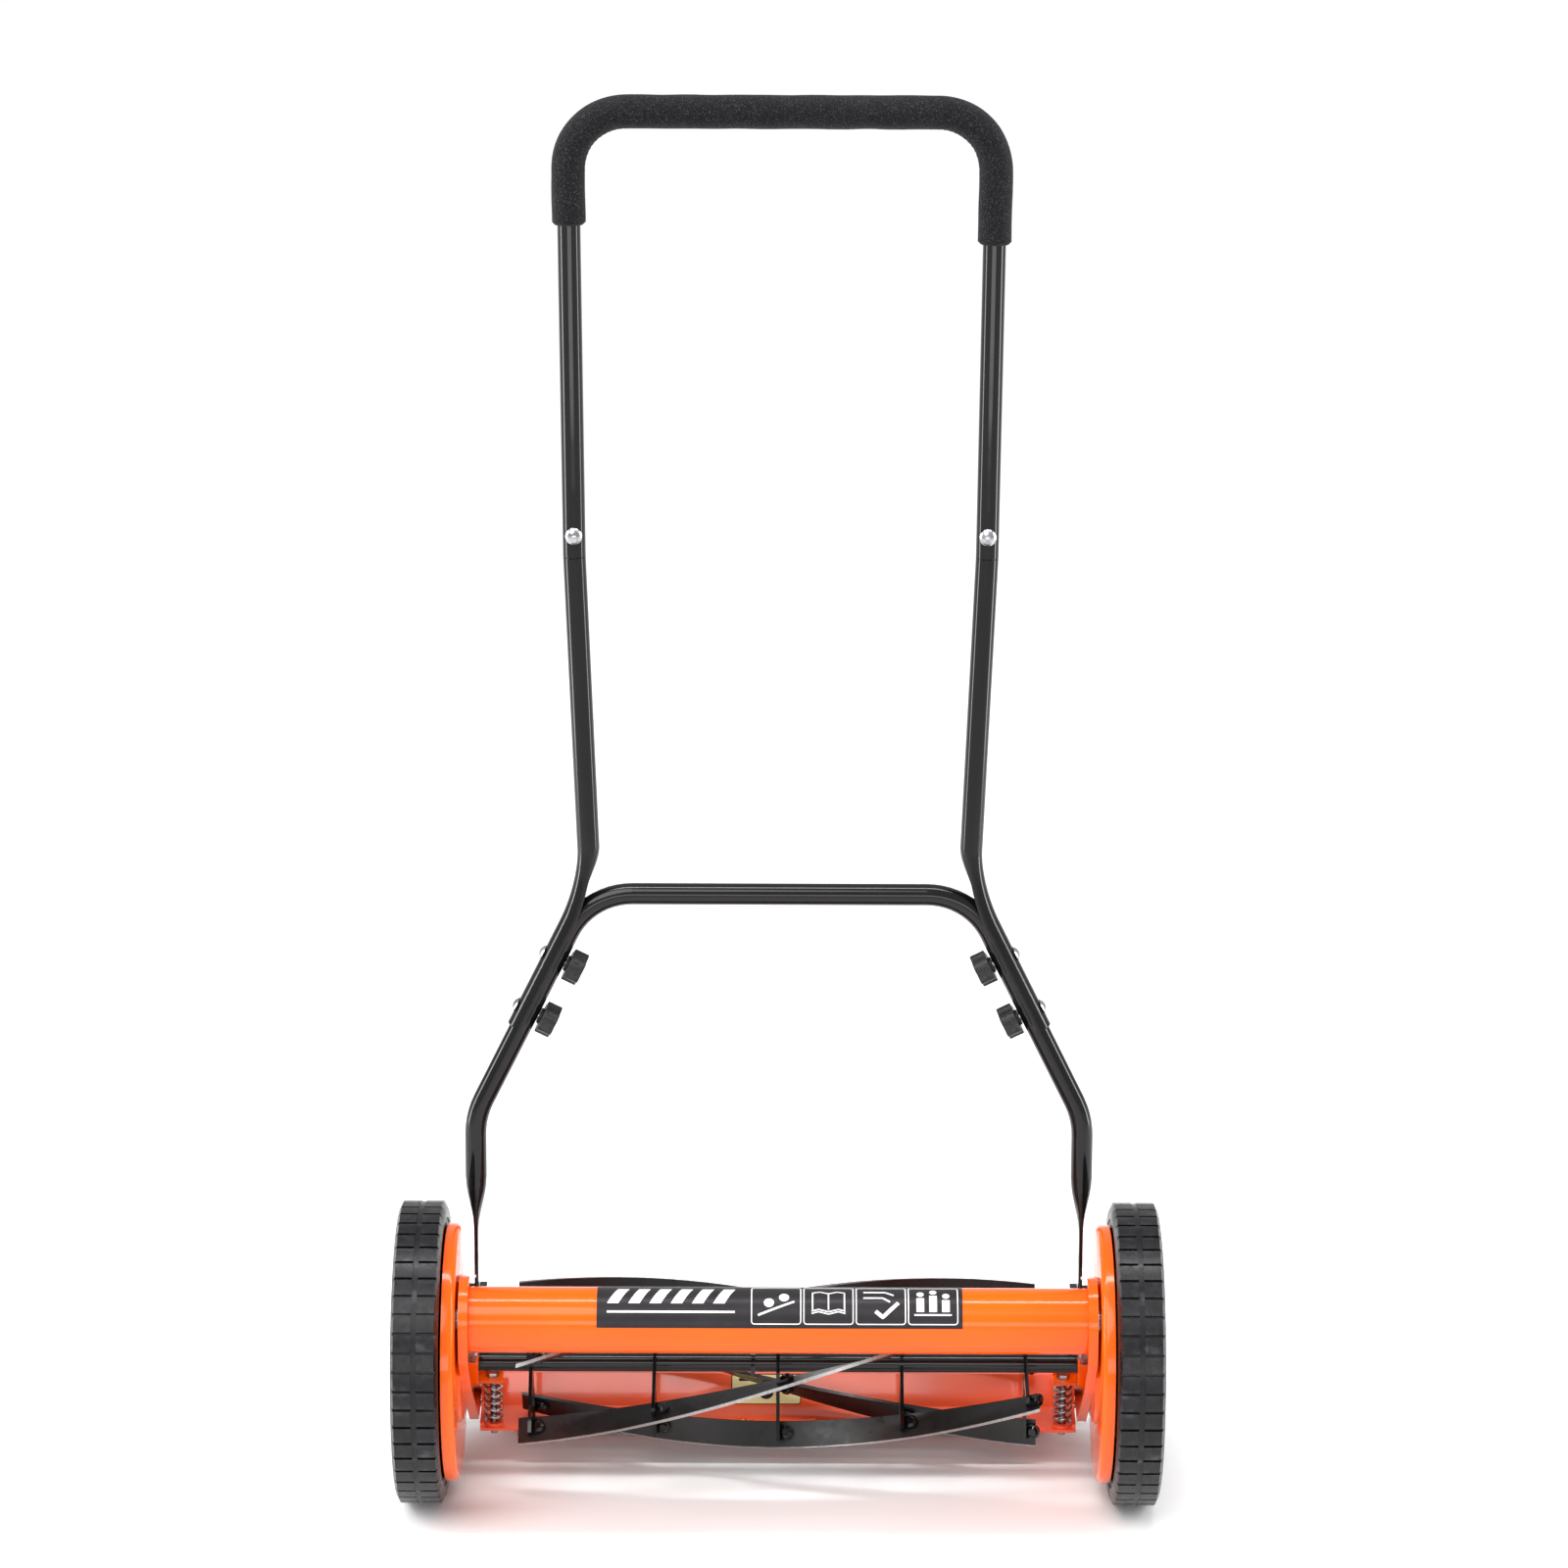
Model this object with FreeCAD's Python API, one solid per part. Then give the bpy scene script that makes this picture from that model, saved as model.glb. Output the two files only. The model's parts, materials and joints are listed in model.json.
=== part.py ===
import FreeCAD, Part
import math
import os

# Push reel mower.  Every shape is drawn about the wheel axis (X to the right seen from the front,
# Y from the front to the user, Z up) and moved to the ground origin when it is written.
V = FreeCAD.Vector
ORIGIN, X_AXIS, Y_AXIS, Z_AXIS = V(0, 0, 0), V(1, 0, 0), V(0, 1, 0), V(0, 0, 1)
SIDES = {"left": -1, "right": 1}
RUNNING = 0.05              # radial clearance of every running fit

# Wheels
WHEEL_R = 127.0
TYRE_X = (280.0, 319.0)
RIM_R = 113.0
LUGS = 50
LUG_GAP = 2.4
AXLE_R = 8.0
AXLE_THREAD_R = 5.0

# Frame
WEB_X = (262.5, 265.0)      # side plate, inner and outer face
FLANGE_X = 257.0
SHEET = 2.5
TUBE_R = 27.5
TUBE_AT = (-43.0, 50.5)     # y, z of the front tube
NOSE_R = 36.0
COVER_R = 108.5
COVER_X = (267.5, 278.5)
COVER_BOSS_R = 60.0
PLATE_OUTLINE = [(TUBE_AT[0] - NOSE_R, 106.8, NOSE_R), (88.0, 30.4, 15.9), (88.0, -20.0, 25.0),
                 (134.0, -46.0, 10.0), (134.0, -88.0, 10.0), (60.0, -95.0, 12.0), (-35.0, -19.5, 60.0),
                 (-79.0, 27.0, 14.0)]       # y, z, corner radius
HANDLE_GAP_R = 30.0                         # the flange is open round the handle's foot
EAR_X, EAR_Y, EAR_TOP_Z = 236.0, (50.0, 67.5), -31.0

# Drive: a 60-tooth internal gear in each wheel turns a 16-tooth pinion on the reel axis
MODULE = 2.0
RING_TEETH, PINION_TEETH = 60, 16
PRESSURE_ANGLE = math.radians(20)
CENTRE_DISTANCE = MODULE * (RING_TEETH - PINION_TEETH) / 2
REEL_AT = (35.0, -math.sqrt(CENTRE_DISTANCE ** 2 - 35.0 ** 2))
MESH_ANGLE = math.atan2(REEL_AT[1], REEL_AT[0])
GEAR_X = (282.0, 294.0)

# Reel
SHAFT_R = 8.0
BLADES = 5
BLADE_R = (49.5, 72.2)
BLADE_THICK = 3.0
BLADE_HALF_LENGTH = 220.0
BLADE_START = math.radians(-49.0)           # first blade at the left end, from -Y towards +Z
TWIST = math.radians(0.26)                  # per millimetre of reel
SPIDER_X = [-210.0, -105.0, 0.0, 105.0, 210.0]
RIVET_R = 59.0
RIVET_AHEAD = 8.0                           # rivet beside its spider arm, along X
RIVET_SHANK_R = 3.0
RIVET_HEAD_R, RIVET_TOP_R, RIVET_HEAD = 5.0, 3.2, 2.2
SPIDER_THICK, SPIDER_HUB_R, SPIDER_ARM_END = 3.0, 14.5, 66.0
TAB_R, TAB_Y = 6.2, (1.85, 4.4)             # rounded tab under each blade, measured from its middle face
COLLAR_R, COLLAR_X, COLLAR_LUG = 12.5, (-23.0, -19.5), (4.0, 19.0)

# Cutter bar and bed knife
KNIFE_EDGE = (45.0, -98.6)
BAR_PIVOT = (103.0, -82.0)
BAR_PIVOT_R = 3.0
BAR_END_X = 253.0
KNIFE_SCREW_X = [-210.0 + 60.0 * i for i in range(8)]
BAR_END_THICK = 3.0
BAR_END_OUTLINE = [(53.0, -103.0, 3.0), (88.0, -97.0, 8.0), (112.0, -92.0, 8.0), (112.0, -66.0, 8.0),
                   (92.0, -66.0, 8.0), (79.0, -88.0, 6.0), (53.0, -94.0, 2.0)]      # y, z, corner radius
BAR_NOTCH = (227.0, 50.5)                   # |x| and y of the cut-out in front of each spring
SPRING_AT = (244.4, 60.0)                   # |x|, y
SPRING_Z = (-95.0, -55.3)
SPRING_R, SPRING_WIRE, SPRING_TURNS = 7.0, 1.25, 5.5
SEAT_R, SEAT_DEPTH = 8.0, 5.5
SHELF_Z = SPRING_Z[1] + 0.3                 # underside of the side plate's ear
ADJUSTER_R, ADJUSTER_FLAT_R, ADJUSTER_HEAD, ADJUSTER_END_Z = 3.0, 5.77, 4.2, -106.0

# Rear roller
ROLLER_AT = (121.0, -108.0)
ROLLER_R = WHEEL_R + ROLLER_AT[1]
ROLLER_HALF = 240.0
CLAMP_Z = (-62.0, -80.0)

# Handle, laid out in its own plane: w across, h up from the pivots
PIVOT_AT = (72.0, 20.0)
LEAN = math.radians(6.2)
BRACKET_R, TUBE19_R, WALL = 9.2, 9.5, 1.2
STRAP_W, STRAP_THICK, STRAP_HALF = 257.4, 3.5, 13.0
BRACKET_KINK, BRACKET_CORNER = (257.4, 159.0), (160.8, 354.0)
ROUND_END_H, FLAT_END_H = 105.0, 55.0       # the feet are pressed flat between these heights
SADDLE_END_H = 237.0
SPLICE_H, SPLICE_BOLT_H, SWAGE_TOP_H = 642.0, 661.0, 697.0
SPLICE_GAP = 0.8
SPLICE_W, TOP_W, TOP_H, TOP_CORNER_R = 170.6, 174.5, 1010.0, 47.0
SEAT_TOP = (158.9, 357.0)                   # where the mid tube's pressed foot leaves its straight part
BOLT_R, BOLT_HOLE_R = 3.0, 3.05
CLAMP_HEAD, SPLICE_HEAD, SPLICE_NUT = (6.3, 3.2), (7.0, 3.4), (6.0, 6.5)     # radius, height
GRIP_R = 14.0
GRIP_ENDS_H = {-1: 918.0, 1: 903.0}
CLAMP_BOLT_H = {"upper": 298.0, "lower": 252.0}
KNOB_HUB, KNOB_HUB_R, KNOB_THICK, KNOB_R, KNOB_LOBES = 2.2, 7.0, 13.0, 14.5, 6
KNOB_LOBE_DEPTH, KNOB_GAP, KNOB_THREAD = 2.4, 0.4, 6.0
CRUSH_H, SEAT_START = 394.0, 38.0           # pressed length of the mid tube's foot
PRESS_STEPS = 8                             # rows of control points in each pressed length
PRESSED_BY = 0.83                           # share of the foot by which its channel is complete
RING_POINTS = 32
RING_SPREAD = 3 / (2 + math.cos(2 * math.pi / RING_POINTS))     # so that a ring's curve keeps its radius
SKIN_INSET = 0.06

BACK_Y = PIVOT_AT[0] + TOP_H * math.sin(LEAN) + GRIP_R
AXLE_Y = (WHEEL_R - BACK_Y) / 2             # centres the whole mower on the origin


# ---------------------------------------------------------------- drawing helpers

def cyl_x(radius, x0, x1, at=(0.0, 0.0)):
    return Part.makeCylinder(radius, x1 - x0, V(x0, at[0], at[1]), X_AXIS)


def tube_x(outer, inner, x0, x1, at=(0.0, 0.0)):
    return cyl_x(outer, x0, x1, at).cut(cyl_x(inner, x0 - 1, x1 + 1, at))


def box(low, high):
    return Part.makeBox(high[0] - low[0], high[1] - low[1], high[2] - low[2], V(*low))


def fuse(shapes):
    return shapes[0].multiFuse(shapes[1:]).removeSplitter()


def mirrored(shape):
    return shape.mirror(ORIGIN, X_AXIS)


def handed(shape, side):
    return shape if side > 0 else mirrored(shape)


def pair(shape):
    return Part.makeCompound([mirrored(shape), shape])


def turned_x(profile, at=(0.0, 0.0)):
    """Solid of revolution about X from a closed (x, r) outline."""
    corners = [V(x, 0, r) for x, r in profile]
    solid = Part.Face(Part.makePolygon(corners + corners[:1])).revolve(ORIGIN, X_AXIS, 360)
    solid.translate(V(0, at[0], at[1]))
    return solid


def ring(outline):
    """Evenly spaced points round a closed outline."""
    return outline.discretize(Number=RING_POINTS + 1)[:-1]


def mixed(first, second, share):
    return [a * (1 - share) + b * share for a, b in zip(first, second)]


def eased(share):
    return share * share * (3 - 2 * share)


def skinned(rows):
    """Solid under one smooth surface whose control points are the rows, closed flat at both ends."""
    surface = Part.BSplineSurface()
    surface.buildFromPolesMultsKnots(
        [list(column) for column in zip(*rows)], [1] * (RING_POINTS + 1), [4] + [1] * (len(rows) - 4) + [4],
        [float(i) for i in range(RING_POINTS + 1)], [float(i) for i in range(len(rows) - 2)], True, False, 3, 3)
    skin = surface.toShape()
    ends = [Part.Face(Part.Wire(edge)) for edge in skin.Edges if edge.isClosed()]
    shell = Part.Shell([skin] + ends)
    shell.sewShape()
    solid = Part.Solid(shell)
    return solid if solid.Volume > 0 else solid.reversed()


def rounded_path(points, radii, closed=False):
    """Straight runs joined by tangent arcs."""
    count = len(points)
    corners = range(count) if closed else range(1, count - 1)
    arcs = {}
    for i in corners:
        corner = points[i]
        back = (points[i - 1] - corner).normalize()
        ahead = (points[(i + 1) % count] - corner).normalize()
        half = back.getAngle(ahead) / 2
        trim = radii[i] / math.tan(half)
        centre = corner + (back + ahead).normalize() * (radii[i] / math.sin(half))
        middle = centre + (corner - centre).normalize() * radii[i]
        arcs[i] = (corner + back * trim, middle, corner + ahead * trim)
    edges = []
    for i in range(count if closed else count - 1):
        j = (i + 1) % count
        start = arcs[i][2] if i in arcs else points[i]
        end = arcs[j][0] if j in arcs else points[j]
        if start.distanceToPoint(end) > 1e-4:
            edges.append(Part.LineSegment(start, end).toShape())
        if j in arcs:
            edges.append(Part.Arc(*arcs[j]).toShape())
    return Part.Wire(Part.__sortEdges__(edges))


def rounded_plate(outline, x0, x1):
    """Plate across X from (y, z, corner radius) points."""
    points = [V(x0, y, z) for y, z, _ in outline]
    wire = rounded_path(points, [r for _, _, r in outline], closed=True)
    return Part.Face(wire).extrude(V(x1 - x0, 0, 0))


def bent_rod(path, radius):
    """Round bar along a wire that starts on a straight run."""
    start = path.OrderedEdges[0]
    tangent = start.tangentAt(start.FirstParameter)
    profile = Part.Wire(Part.makeCircle(radius, start.Vertexes[0].Point, tangent))
    return path.makePipeShell([profile], True, True)


def dome(radius, height, base, direction):
    """Low round head that stands on base and bulges along direction."""
    ball_r = (radius ** 2 + height ** 2) / (2 * height)
    ball = Part.makeSphere(ball_r, base + direction * (height - ball_r))
    return ball.common(Part.makeCylinder(radius, height, base, direction))


def hexagon_x(across_flats, x0, x1, at):
    corners = []
    for i in range(7):
        angle = math.radians(60 * i)
        reach = across_flats / math.sqrt(3)
        corners.append(V(x0, at[0] + reach * math.cos(angle), at[1] + reach * math.sin(angle)))
    return Part.Face(Part.makePolygon(corners)).extrude(V(x1 - x0, 0, 0))


# ---------------------------------------------------------------- frame

def front_tube():
    return tube_x(TUBE_R, TUBE_R - 1.5, -WEB_X[0], WEB_X[0], TUBE_AT)


def tie_rod():
    rod = cyl_x(AXLE_THREAD_R, -WEB_X[1], WEB_X[1], TUBE_AT)
    head = cyl_x(9.0, WEB_X[1], WEB_X[1] + 2.2, TUBE_AT)
    return fuse([rod, head, mirrored(head)])


def side_plate():
    plate = rounded_plate(PLATE_OUTLINE, FLANGE_X, WEB_X[1])
    face = Part.Face(rounded_path([V(FLANGE_X - 1, y, z) for y, z, _ in PLATE_OUTLINE],
                                  [r for _, _, r in PLATE_OUTLINE], closed=True))
    pocket = face.makeOffset2D(-SHEET).extrude(V(WEB_X[0] - FLANGE_X + 1, 0, 0))
    handle_gap = cyl_x(HANDLE_GAP_R, FLANGE_X - 1, WEB_X[0], PIVOT_AT)
    bracket_gap = box((FLANGE_X - 1, 104.0, -100.0), (WEB_X[0], 140.0, -30.0))
    ear_shelf = box((EAR_X, EAR_Y[0], SHELF_Z), (WEB_X[0], EAR_Y[1], SHELF_Z + SHEET))
    ear_web = box((EAR_X, EAR_Y[1] - SHEET, SHELF_Z), (WEB_X[0], EAR_Y[1], EAR_TOP_Z))
    plate = plate.cut(pocket).cut(handle_gap).cut(bracket_gap)
    plate = fuse([plate, ear_shelf, ear_web])
    holes = [cyl_x(AXLE_THREAD_R + RUNNING, 250, 270, at) for at in (TUBE_AT, (0.0, 0.0), PIVOT_AT)]
    holes += [cyl_x(17.6, 250, 270, REEL_AT), cyl_x(BAR_PIVOT_R + RUNNING, 250, 270, BAR_PIVOT)]
    holes += [cyl_x(4.05, 250, 270, (ROLLER_AT[0], z)) for z in CLAMP_Z]
    holes.append(Part.makeCylinder(ADJUSTER_R + 0.4, 20, V(*SPRING_AT, SHELF_Z - 10), Z_AXIS))
    for hole in holes:
        plate = plate.cut(hole)
    return plate


def dust_cover():
    """Dished round cover: flat boss against the side plate, rolled rim towards the wheel."""
    sheet, rim = 1.5, 5.5
    boss_x, flat_x, rim_x = WEB_X[1], COVER_X[0], COVER_X[1]
    bend = [math.radians(a) for a in range(0, 91, 15)]
    outer = [(flat_x + rim - rim * math.cos(a), COVER_R - rim + rim * math.sin(a)) for a in bend]
    small = rim - sheet
    inner = [(flat_x + rim - small * math.cos(a), COVER_R - rim + small * math.sin(a)) for a in bend]
    profile = [(boss_x, 0.0), (boss_x, COVER_BOSS_R - 2.5), (flat_x, COVER_BOSS_R)] + outer
    profile += [(rim_x, COVER_R), (rim_x, COVER_R - sheet)] + inner[::-1]
    profile += [(flat_x + sheet, COVER_BOSS_R - 0.6), (boss_x + sheet, COVER_BOSS_R - 3.1), (boss_x + sheet, 0.0)]
    cover = turned_x(profile)
    openings = [cyl_x(AXLE_THREAD_R + RUNNING, 260, 280), cyl_x(19.5, 260, 280, REEL_AT),
                cyl_x(10.5, 260, 268.5, TUBE_AT)]
    for angle in (100, 280):                    # drain notches by the rim
        at = (101.0 * math.cos(math.radians(angle)), 101.0 * math.sin(math.radians(angle)))
        openings.append(cyl_x(2.5, 260, 272, at))
    for opening in openings:
        cover = cover.cut(opening)
    return cover


def axle():
    thread = cyl_x(AXLE_THREAD_R, 253.8, WEB_X[1] + 1.6)
    shoulder = cyl_x(AXLE_R, WEB_X[1] + 1.5, 311.3)
    head = cyl_x(12.0, 311.3, 314.3)
    return fuse([thread, shoulder, head])


def axle_nut():
    nut = hexagon_x(17.0, 255.3, 261.2, (0.0, 0.0))
    washer = cyl_x(10.5, 261.2, WEB_X[0])
    return fuse([nut, washer]).cut(cyl_x(AXLE_THREAD_R + 0.01, 250, 270))


def bearing_housing():
    inner_x = 254.5
    cup = cyl_x(21.0, inner_x, WEB_X[0], REEL_AT)
    pocket = cyl_x(17.55, inner_x + 1.6, WEB_X[0] + 1, REEL_AT)
    mouth = cyl_x(SHAFT_R + 0.6, inner_x - 1, WEB_X[0], REEL_AT)
    return cup.cut(pocket).cut(mouth)


def ball_bearing():
    """Shielded ball bearing, 35 mm outside, 15 mm bore, 11 mm wide."""
    x0, x1 = 256.3, 267.3
    bearing = tube_x(17.5, 7.5 + RUNNING, x0, x1, REEL_AT)
    for shield_x in (x0, x1 - 0.6):
        bearing = bearing.cut(tube_x(14.5, 10.5, shield_x, shield_x + 0.6, REEL_AT))
    return bearing


def coil_spring():
    length = SPRING_Z[1] - SPRING_Z[0] - 2 * SPRING_WIRE
    helix = Part.makeHelix(length / SPRING_TURNS, length, SPRING_R)
    profile = Part.Wire(Part.makeCircle(SPRING_WIRE, V(SPRING_R, 0, 0), Y_AXIS))
    spring = Part.Wire(helix).makePipeShell([profile], True, True)
    spring.translate(V(SPRING_AT[0], SPRING_AT[1], SPRING_Z[0] + SPRING_WIRE))
    return spring


def adjuster_bolt():
    shelf_top = SHELF_Z + SHEET
    foot = V(*SPRING_AT, ADJUSTER_END_Z)
    shank = Part.makeCylinder(ADJUSTER_R, shelf_top - foot.z, foot, Z_AXIS)
    turns = [math.radians(60 * i) for i in range(7)]
    corners = [V(ADJUSTER_FLAT_R * math.cos(a), ADJUSTER_FLAT_R * math.sin(a), 0) for a in turns]
    head = Part.Face(Part.makePolygon(corners)).extrude(V(0, 0, ADJUSTER_HEAD))
    head.translate(V(*SPRING_AT, shelf_top))
    return fuse([shank, head])


def handle_pivot_bolt():
    head = dome(15.0, 2.2, V(WEB_X[1], PIVOT_AT[0], PIVOT_AT[1]), X_AXIS)
    shank = cyl_x(AXLE_THREAD_R, 248.0, WEB_X[1] + 0.2, PIVOT_AT)
    spacer = tube_x(8.5, AXLE_THREAD_R, 259.45, WEB_X[0], PIVOT_AT)
    nut = hexagon_x(17.0, 249.0, 255.35, PIVOT_AT)
    return fuse([head, shank, spacer, nut])


def bar_pivot_bolt():
    head = hexagon_x(10.0, WEB_X[1], 269.0, BAR_PIVOT)
    shoulder = cyl_x(6.0, 256.4, WEB_X[0], BAR_PIVOT)
    shank = cyl_x(BAR_PIVOT_R, 246.0, WEB_X[1] + 0.1, BAR_PIVOT)
    nut = hexagon_x(10.0, 247.5, 252.6, BAR_PIVOT)
    return fuse([head, shoulder, shank, nut])


# ---------------------------------------------------------------- wheels and drive

def gear_outline(teeth, tip_r, root_r, thicken, x):
    """Involute gear outline with one tooth centred on the mesh line."""
    pitch_r = MODULE * teeth / 2
    base_r = pitch_r * math.cos(PRESSURE_ANGLE)
    flank_at_pitch = (math.pi * MODULE / 2 + thicken) / (2 * pitch_r)
    steps = 4

    def half_angle(radius):
        roll = math.acos(min(1.0, base_r / radius))
        involute = math.tan(roll) - roll
        return flank_at_pitch + math.tan(PRESSURE_ANGLE) - PRESSURE_ANGLE - involute

    radii = [root_r + (tip_r - root_r) * i / steps for i in range(steps + 1)]
    flank = [(r, half_angle(max(r, base_r))) for r in radii]
    corners = []
    for tooth in range(teeth):
        middle = MESH_ANGLE + 2 * math.pi * tooth / teeth
        for r, half in flank:
            corners.append(V(x, r * math.cos(middle - half), r * math.sin(middle - half)))
        for r, half in reversed(flank):
            corners.append(V(x, r * math.cos(middle + half), r * math.sin(middle + half)))
    return Part.Face(Part.makePolygon(corners + corners[:1]))


def tyre():
    x0, x1 = TYRE_X
    middle = (x0 + x1) / 2
    shoulder_r, band, band_half = 121.5, 0.8, 2.2
    body = turned_x([(x0, RIM_R), (x1, RIM_R), (x1, shoulder_r), (x1 - 2.8, WHEEL_R),
                     (middle + band_half, WHEEL_R), (middle + band_half, WHEEL_R - band),
                     (middle - band_half, WHEEL_R - band), (middle - band_half, WHEEL_R),
                     (x0 + 2.8, WHEEL_R), (x0, shoulder_r)])
    slot_r = WHEEL_R - 2.2
    slots = []
    for lug in range(LUGS):
        for low, high in ((x0 - 1, middle - band_half), (middle + band_half, x1 + 1)):
            slot = box((low, -LUG_GAP / 2, slot_r), (high, LUG_GAP / 2, WHEEL_R + 2))
            slot.rotate(ORIGIN, X_AXIS, 360.0 * lug / LUGS)
            slots.append(slot)
    return body.cut(Part.makeCompound(slots))


def wheel():
    """Moulded wheel: hub, dished web, ribs outside, and the drive ring with its inside teeth."""
    hub_r, cap_r, drum_r, web_x = 22.0, 16.5, 70.0, (299.0, 304.0)
    root_r = MODULE * RING_TEETH / 2 + 2.6
    bore = AXLE_R + RUNNING
    profile = [(281, bore), (311, bore), (311, cap_r), (web_x[1], cap_r), (web_x[1], 106.0), (318, 106.0),
               (318, RIM_R), (281, RIM_R), (281, 106.0), (web_x[0], 106.0), (web_x[0], drum_r),
               (GEAR_X[0], drum_r), (GEAR_X[0], root_r + 1.5), (web_x[0], root_r + 1.5), (web_x[0], hub_r),
               (281, hub_r)]
    body = turned_x(profile)
    ring = Part.Face(Part.Wire(Part.makeCircle(root_r + 2.5, V(GEAR_X[0], 0, 0), X_AXIS)))
    ring = ring.extrude(V(GEAR_X[1] - GEAR_X[0], 0, 0))
    space = gear_outline(RING_TEETH, root_r, MODULE * RING_TEETH / 2 - 1.7, 0.2, GEAR_X[0] - 1)
    ring = ring.cut(space.extrude(V(GEAR_X[1] - GEAR_X[0] + 2, 0, 0)))
    parts = [body, ring]
    ribs = 10
    for i in range(ribs):
        rib_outline = [V(web_x[1] - 1, -2, 28), V(309, -2, 28), V(315, -2, 106.5), V(web_x[1] - 1, -2, 106.5)]
        rib = Part.Face(Part.makePolygon(rib_outline + rib_outline[:1])).extrude(V(0, 4, 0))
        rib.rotate(ORIGIN, X_AXIS, 360.0 * i / ribs)
        parts.append(rib)
    return fuse(parts)


def hub_cap():
    inner = 16.55
    return turned_x([(304.05, inner), (304.05, 26.5), (308, 26.0), (314, 22.0), (317.6, 15.0), (319, 6.0),
                     (319, 0.0), (316.4, 0.0), (315.4, inner - 3), (312, inner)])


def pinion():
    pitch_r = MODULE * PINION_TEETH / 2
    x0, x1, step_x = 281.5, 293.5, 288.6
    blank = gear_outline(PINION_TEETH, pitch_r + 1.8, pitch_r - 2.4, -0.2, x0).extrude(V(x1 - x0, 0, 0))
    crest, root, notches = 9.3, 11.0, 8
    corners = []
    for i in range(notches):
        start = 2 * math.pi * i / notches
        corners.append(V(x0 - 1, crest * math.cos(start), crest * math.sin(start)))
        corners.append(V(x0 - 1, root * math.cos(start + 0.05), root * math.sin(start + 0.05)))
    ratchet = Part.Face(Part.makePolygon(corners + corners[:1])).extrude(V(step_x - x0 + 1, 0, 0))
    gear = blank.cut(ratchet).cut(cyl_x(6.0 + RUNNING, x0 - 1, x1 + 1))
    gear.translate(V(0, *REEL_AT))
    return gear


def reel_shaft():
    half = [cyl_x(SHAFT_R, 0, 256.1, REEL_AT), cyl_x(7.5, 256, 268, REEL_AT), cyl_x(6.0, 267.9, 297.5, REEL_AT)]
    half = fuse(half)
    half = half.cut(tube_x(7.0, 5.2, 294.2, 295.4, REEL_AT))
    half = half.cut(box((283.0, REEL_AT[0] - 10, REEL_AT[1] - 1.55), (288.2, REEL_AT[0] + 10, REEL_AT[1] + 1.55)))
    return fuse([half, mirrored(half)])


def pawl():
    bar = box((283.1, REEL_AT[0] - 8.9, REEL_AT[1] - 1.5), (288.1, REEL_AT[0] + 8.9, REEL_AT[1] + 1.5))
    return bar.common(cyl_x(8.95, 283, 289, REEL_AT))


def circlip():
    ring = tube_x(8.5, 5.25, 294.25, 295.35, REEL_AT)
    return ring.cut(box((294, REEL_AT[0] - 3, REEL_AT[1]), (296, REEL_AT[0] + 3, REEL_AT[1] + 10)))


# ---------------------------------------------------------------- reel

def blade_angle(index, x):
    return BLADE_START - 2 * math.pi * index / BLADES + TWIST * (x + BLADE_HALF_LENGTH)


def reel_frame(index, x, radius, offset):
    """Point near a blade: radius from the reel axis, offset behind the blade's middle face."""
    angle = blade_angle(index, x)
    y = REEL_AT[0] - radius * math.cos(angle) + offset * math.sin(angle)
    z = REEL_AT[1] + radius * math.sin(angle) + offset * math.cos(angle)
    return V(x, y, z)


def rivet_axis(index, spider_x):
    """Rivet place on the blade's middle face and the blade's normal there."""
    x = spider_x + RIVET_AHEAD
    angle = blade_angle(index, x)
    tilt = math.atan(RIVET_R * TWIST)
    around = V(0, math.sin(angle), math.cos(angle))
    return reel_frame(index, x, RIVET_R, 0), around * math.cos(tilt) - X_AXIS * math.sin(tilt)


def rivet_shank(index, spider_x, radius):
    place, normal = rivet_axis(index, spider_x)
    return Part.makeCylinder(radius, 5.95, place - normal * 1.5, normal)


def rivet(index, spider_x):
    place, normal = rivet_axis(index, spider_x)
    half = BLADE_THICK / 2
    near = Part.makeCone(RIVET_HEAD_R, RIVET_TOP_R, RIVET_HEAD, place + normal * (TAB_Y[1] + 0.05), normal)
    far = Part.makeCone(RIVET_HEAD_R, RIVET_TOP_R, RIVET_HEAD, place - normal * half, normal * -1)
    return fuse([rivet_shank(index, spider_x, RIVET_SHANK_R), near, far])


def blade(index):
    half = BLADE_THICK / 2
    stations = 13
    sections = []
    for i in range(stations):
        x = -BLADE_HALF_LENGTH + 2 * BLADE_HALF_LENGTH * i / (stations - 1)
        corners = [reel_frame(index, x, r, t) for r, t in
                   ((BLADE_R[0], -half), (BLADE_R[1], -half), (BLADE_R[1], half), (BLADE_R[0], half))]
        sections.append(Part.makePolygon(corners + corners[:1]))
    strip = Part.makeLoft(sections, True, False)
    for spider_x in SPIDER_X:
        place, normal = rivet_axis(index, spider_x)
        strip = strip.cut(Part.makeCylinder(RIVET_SHANK_R + 0.02, 8, place - normal * 4, normal))
    return strip


def on_reel(shape, x):
    shape.translate(V(x, *REEL_AT))
    return shape


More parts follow.
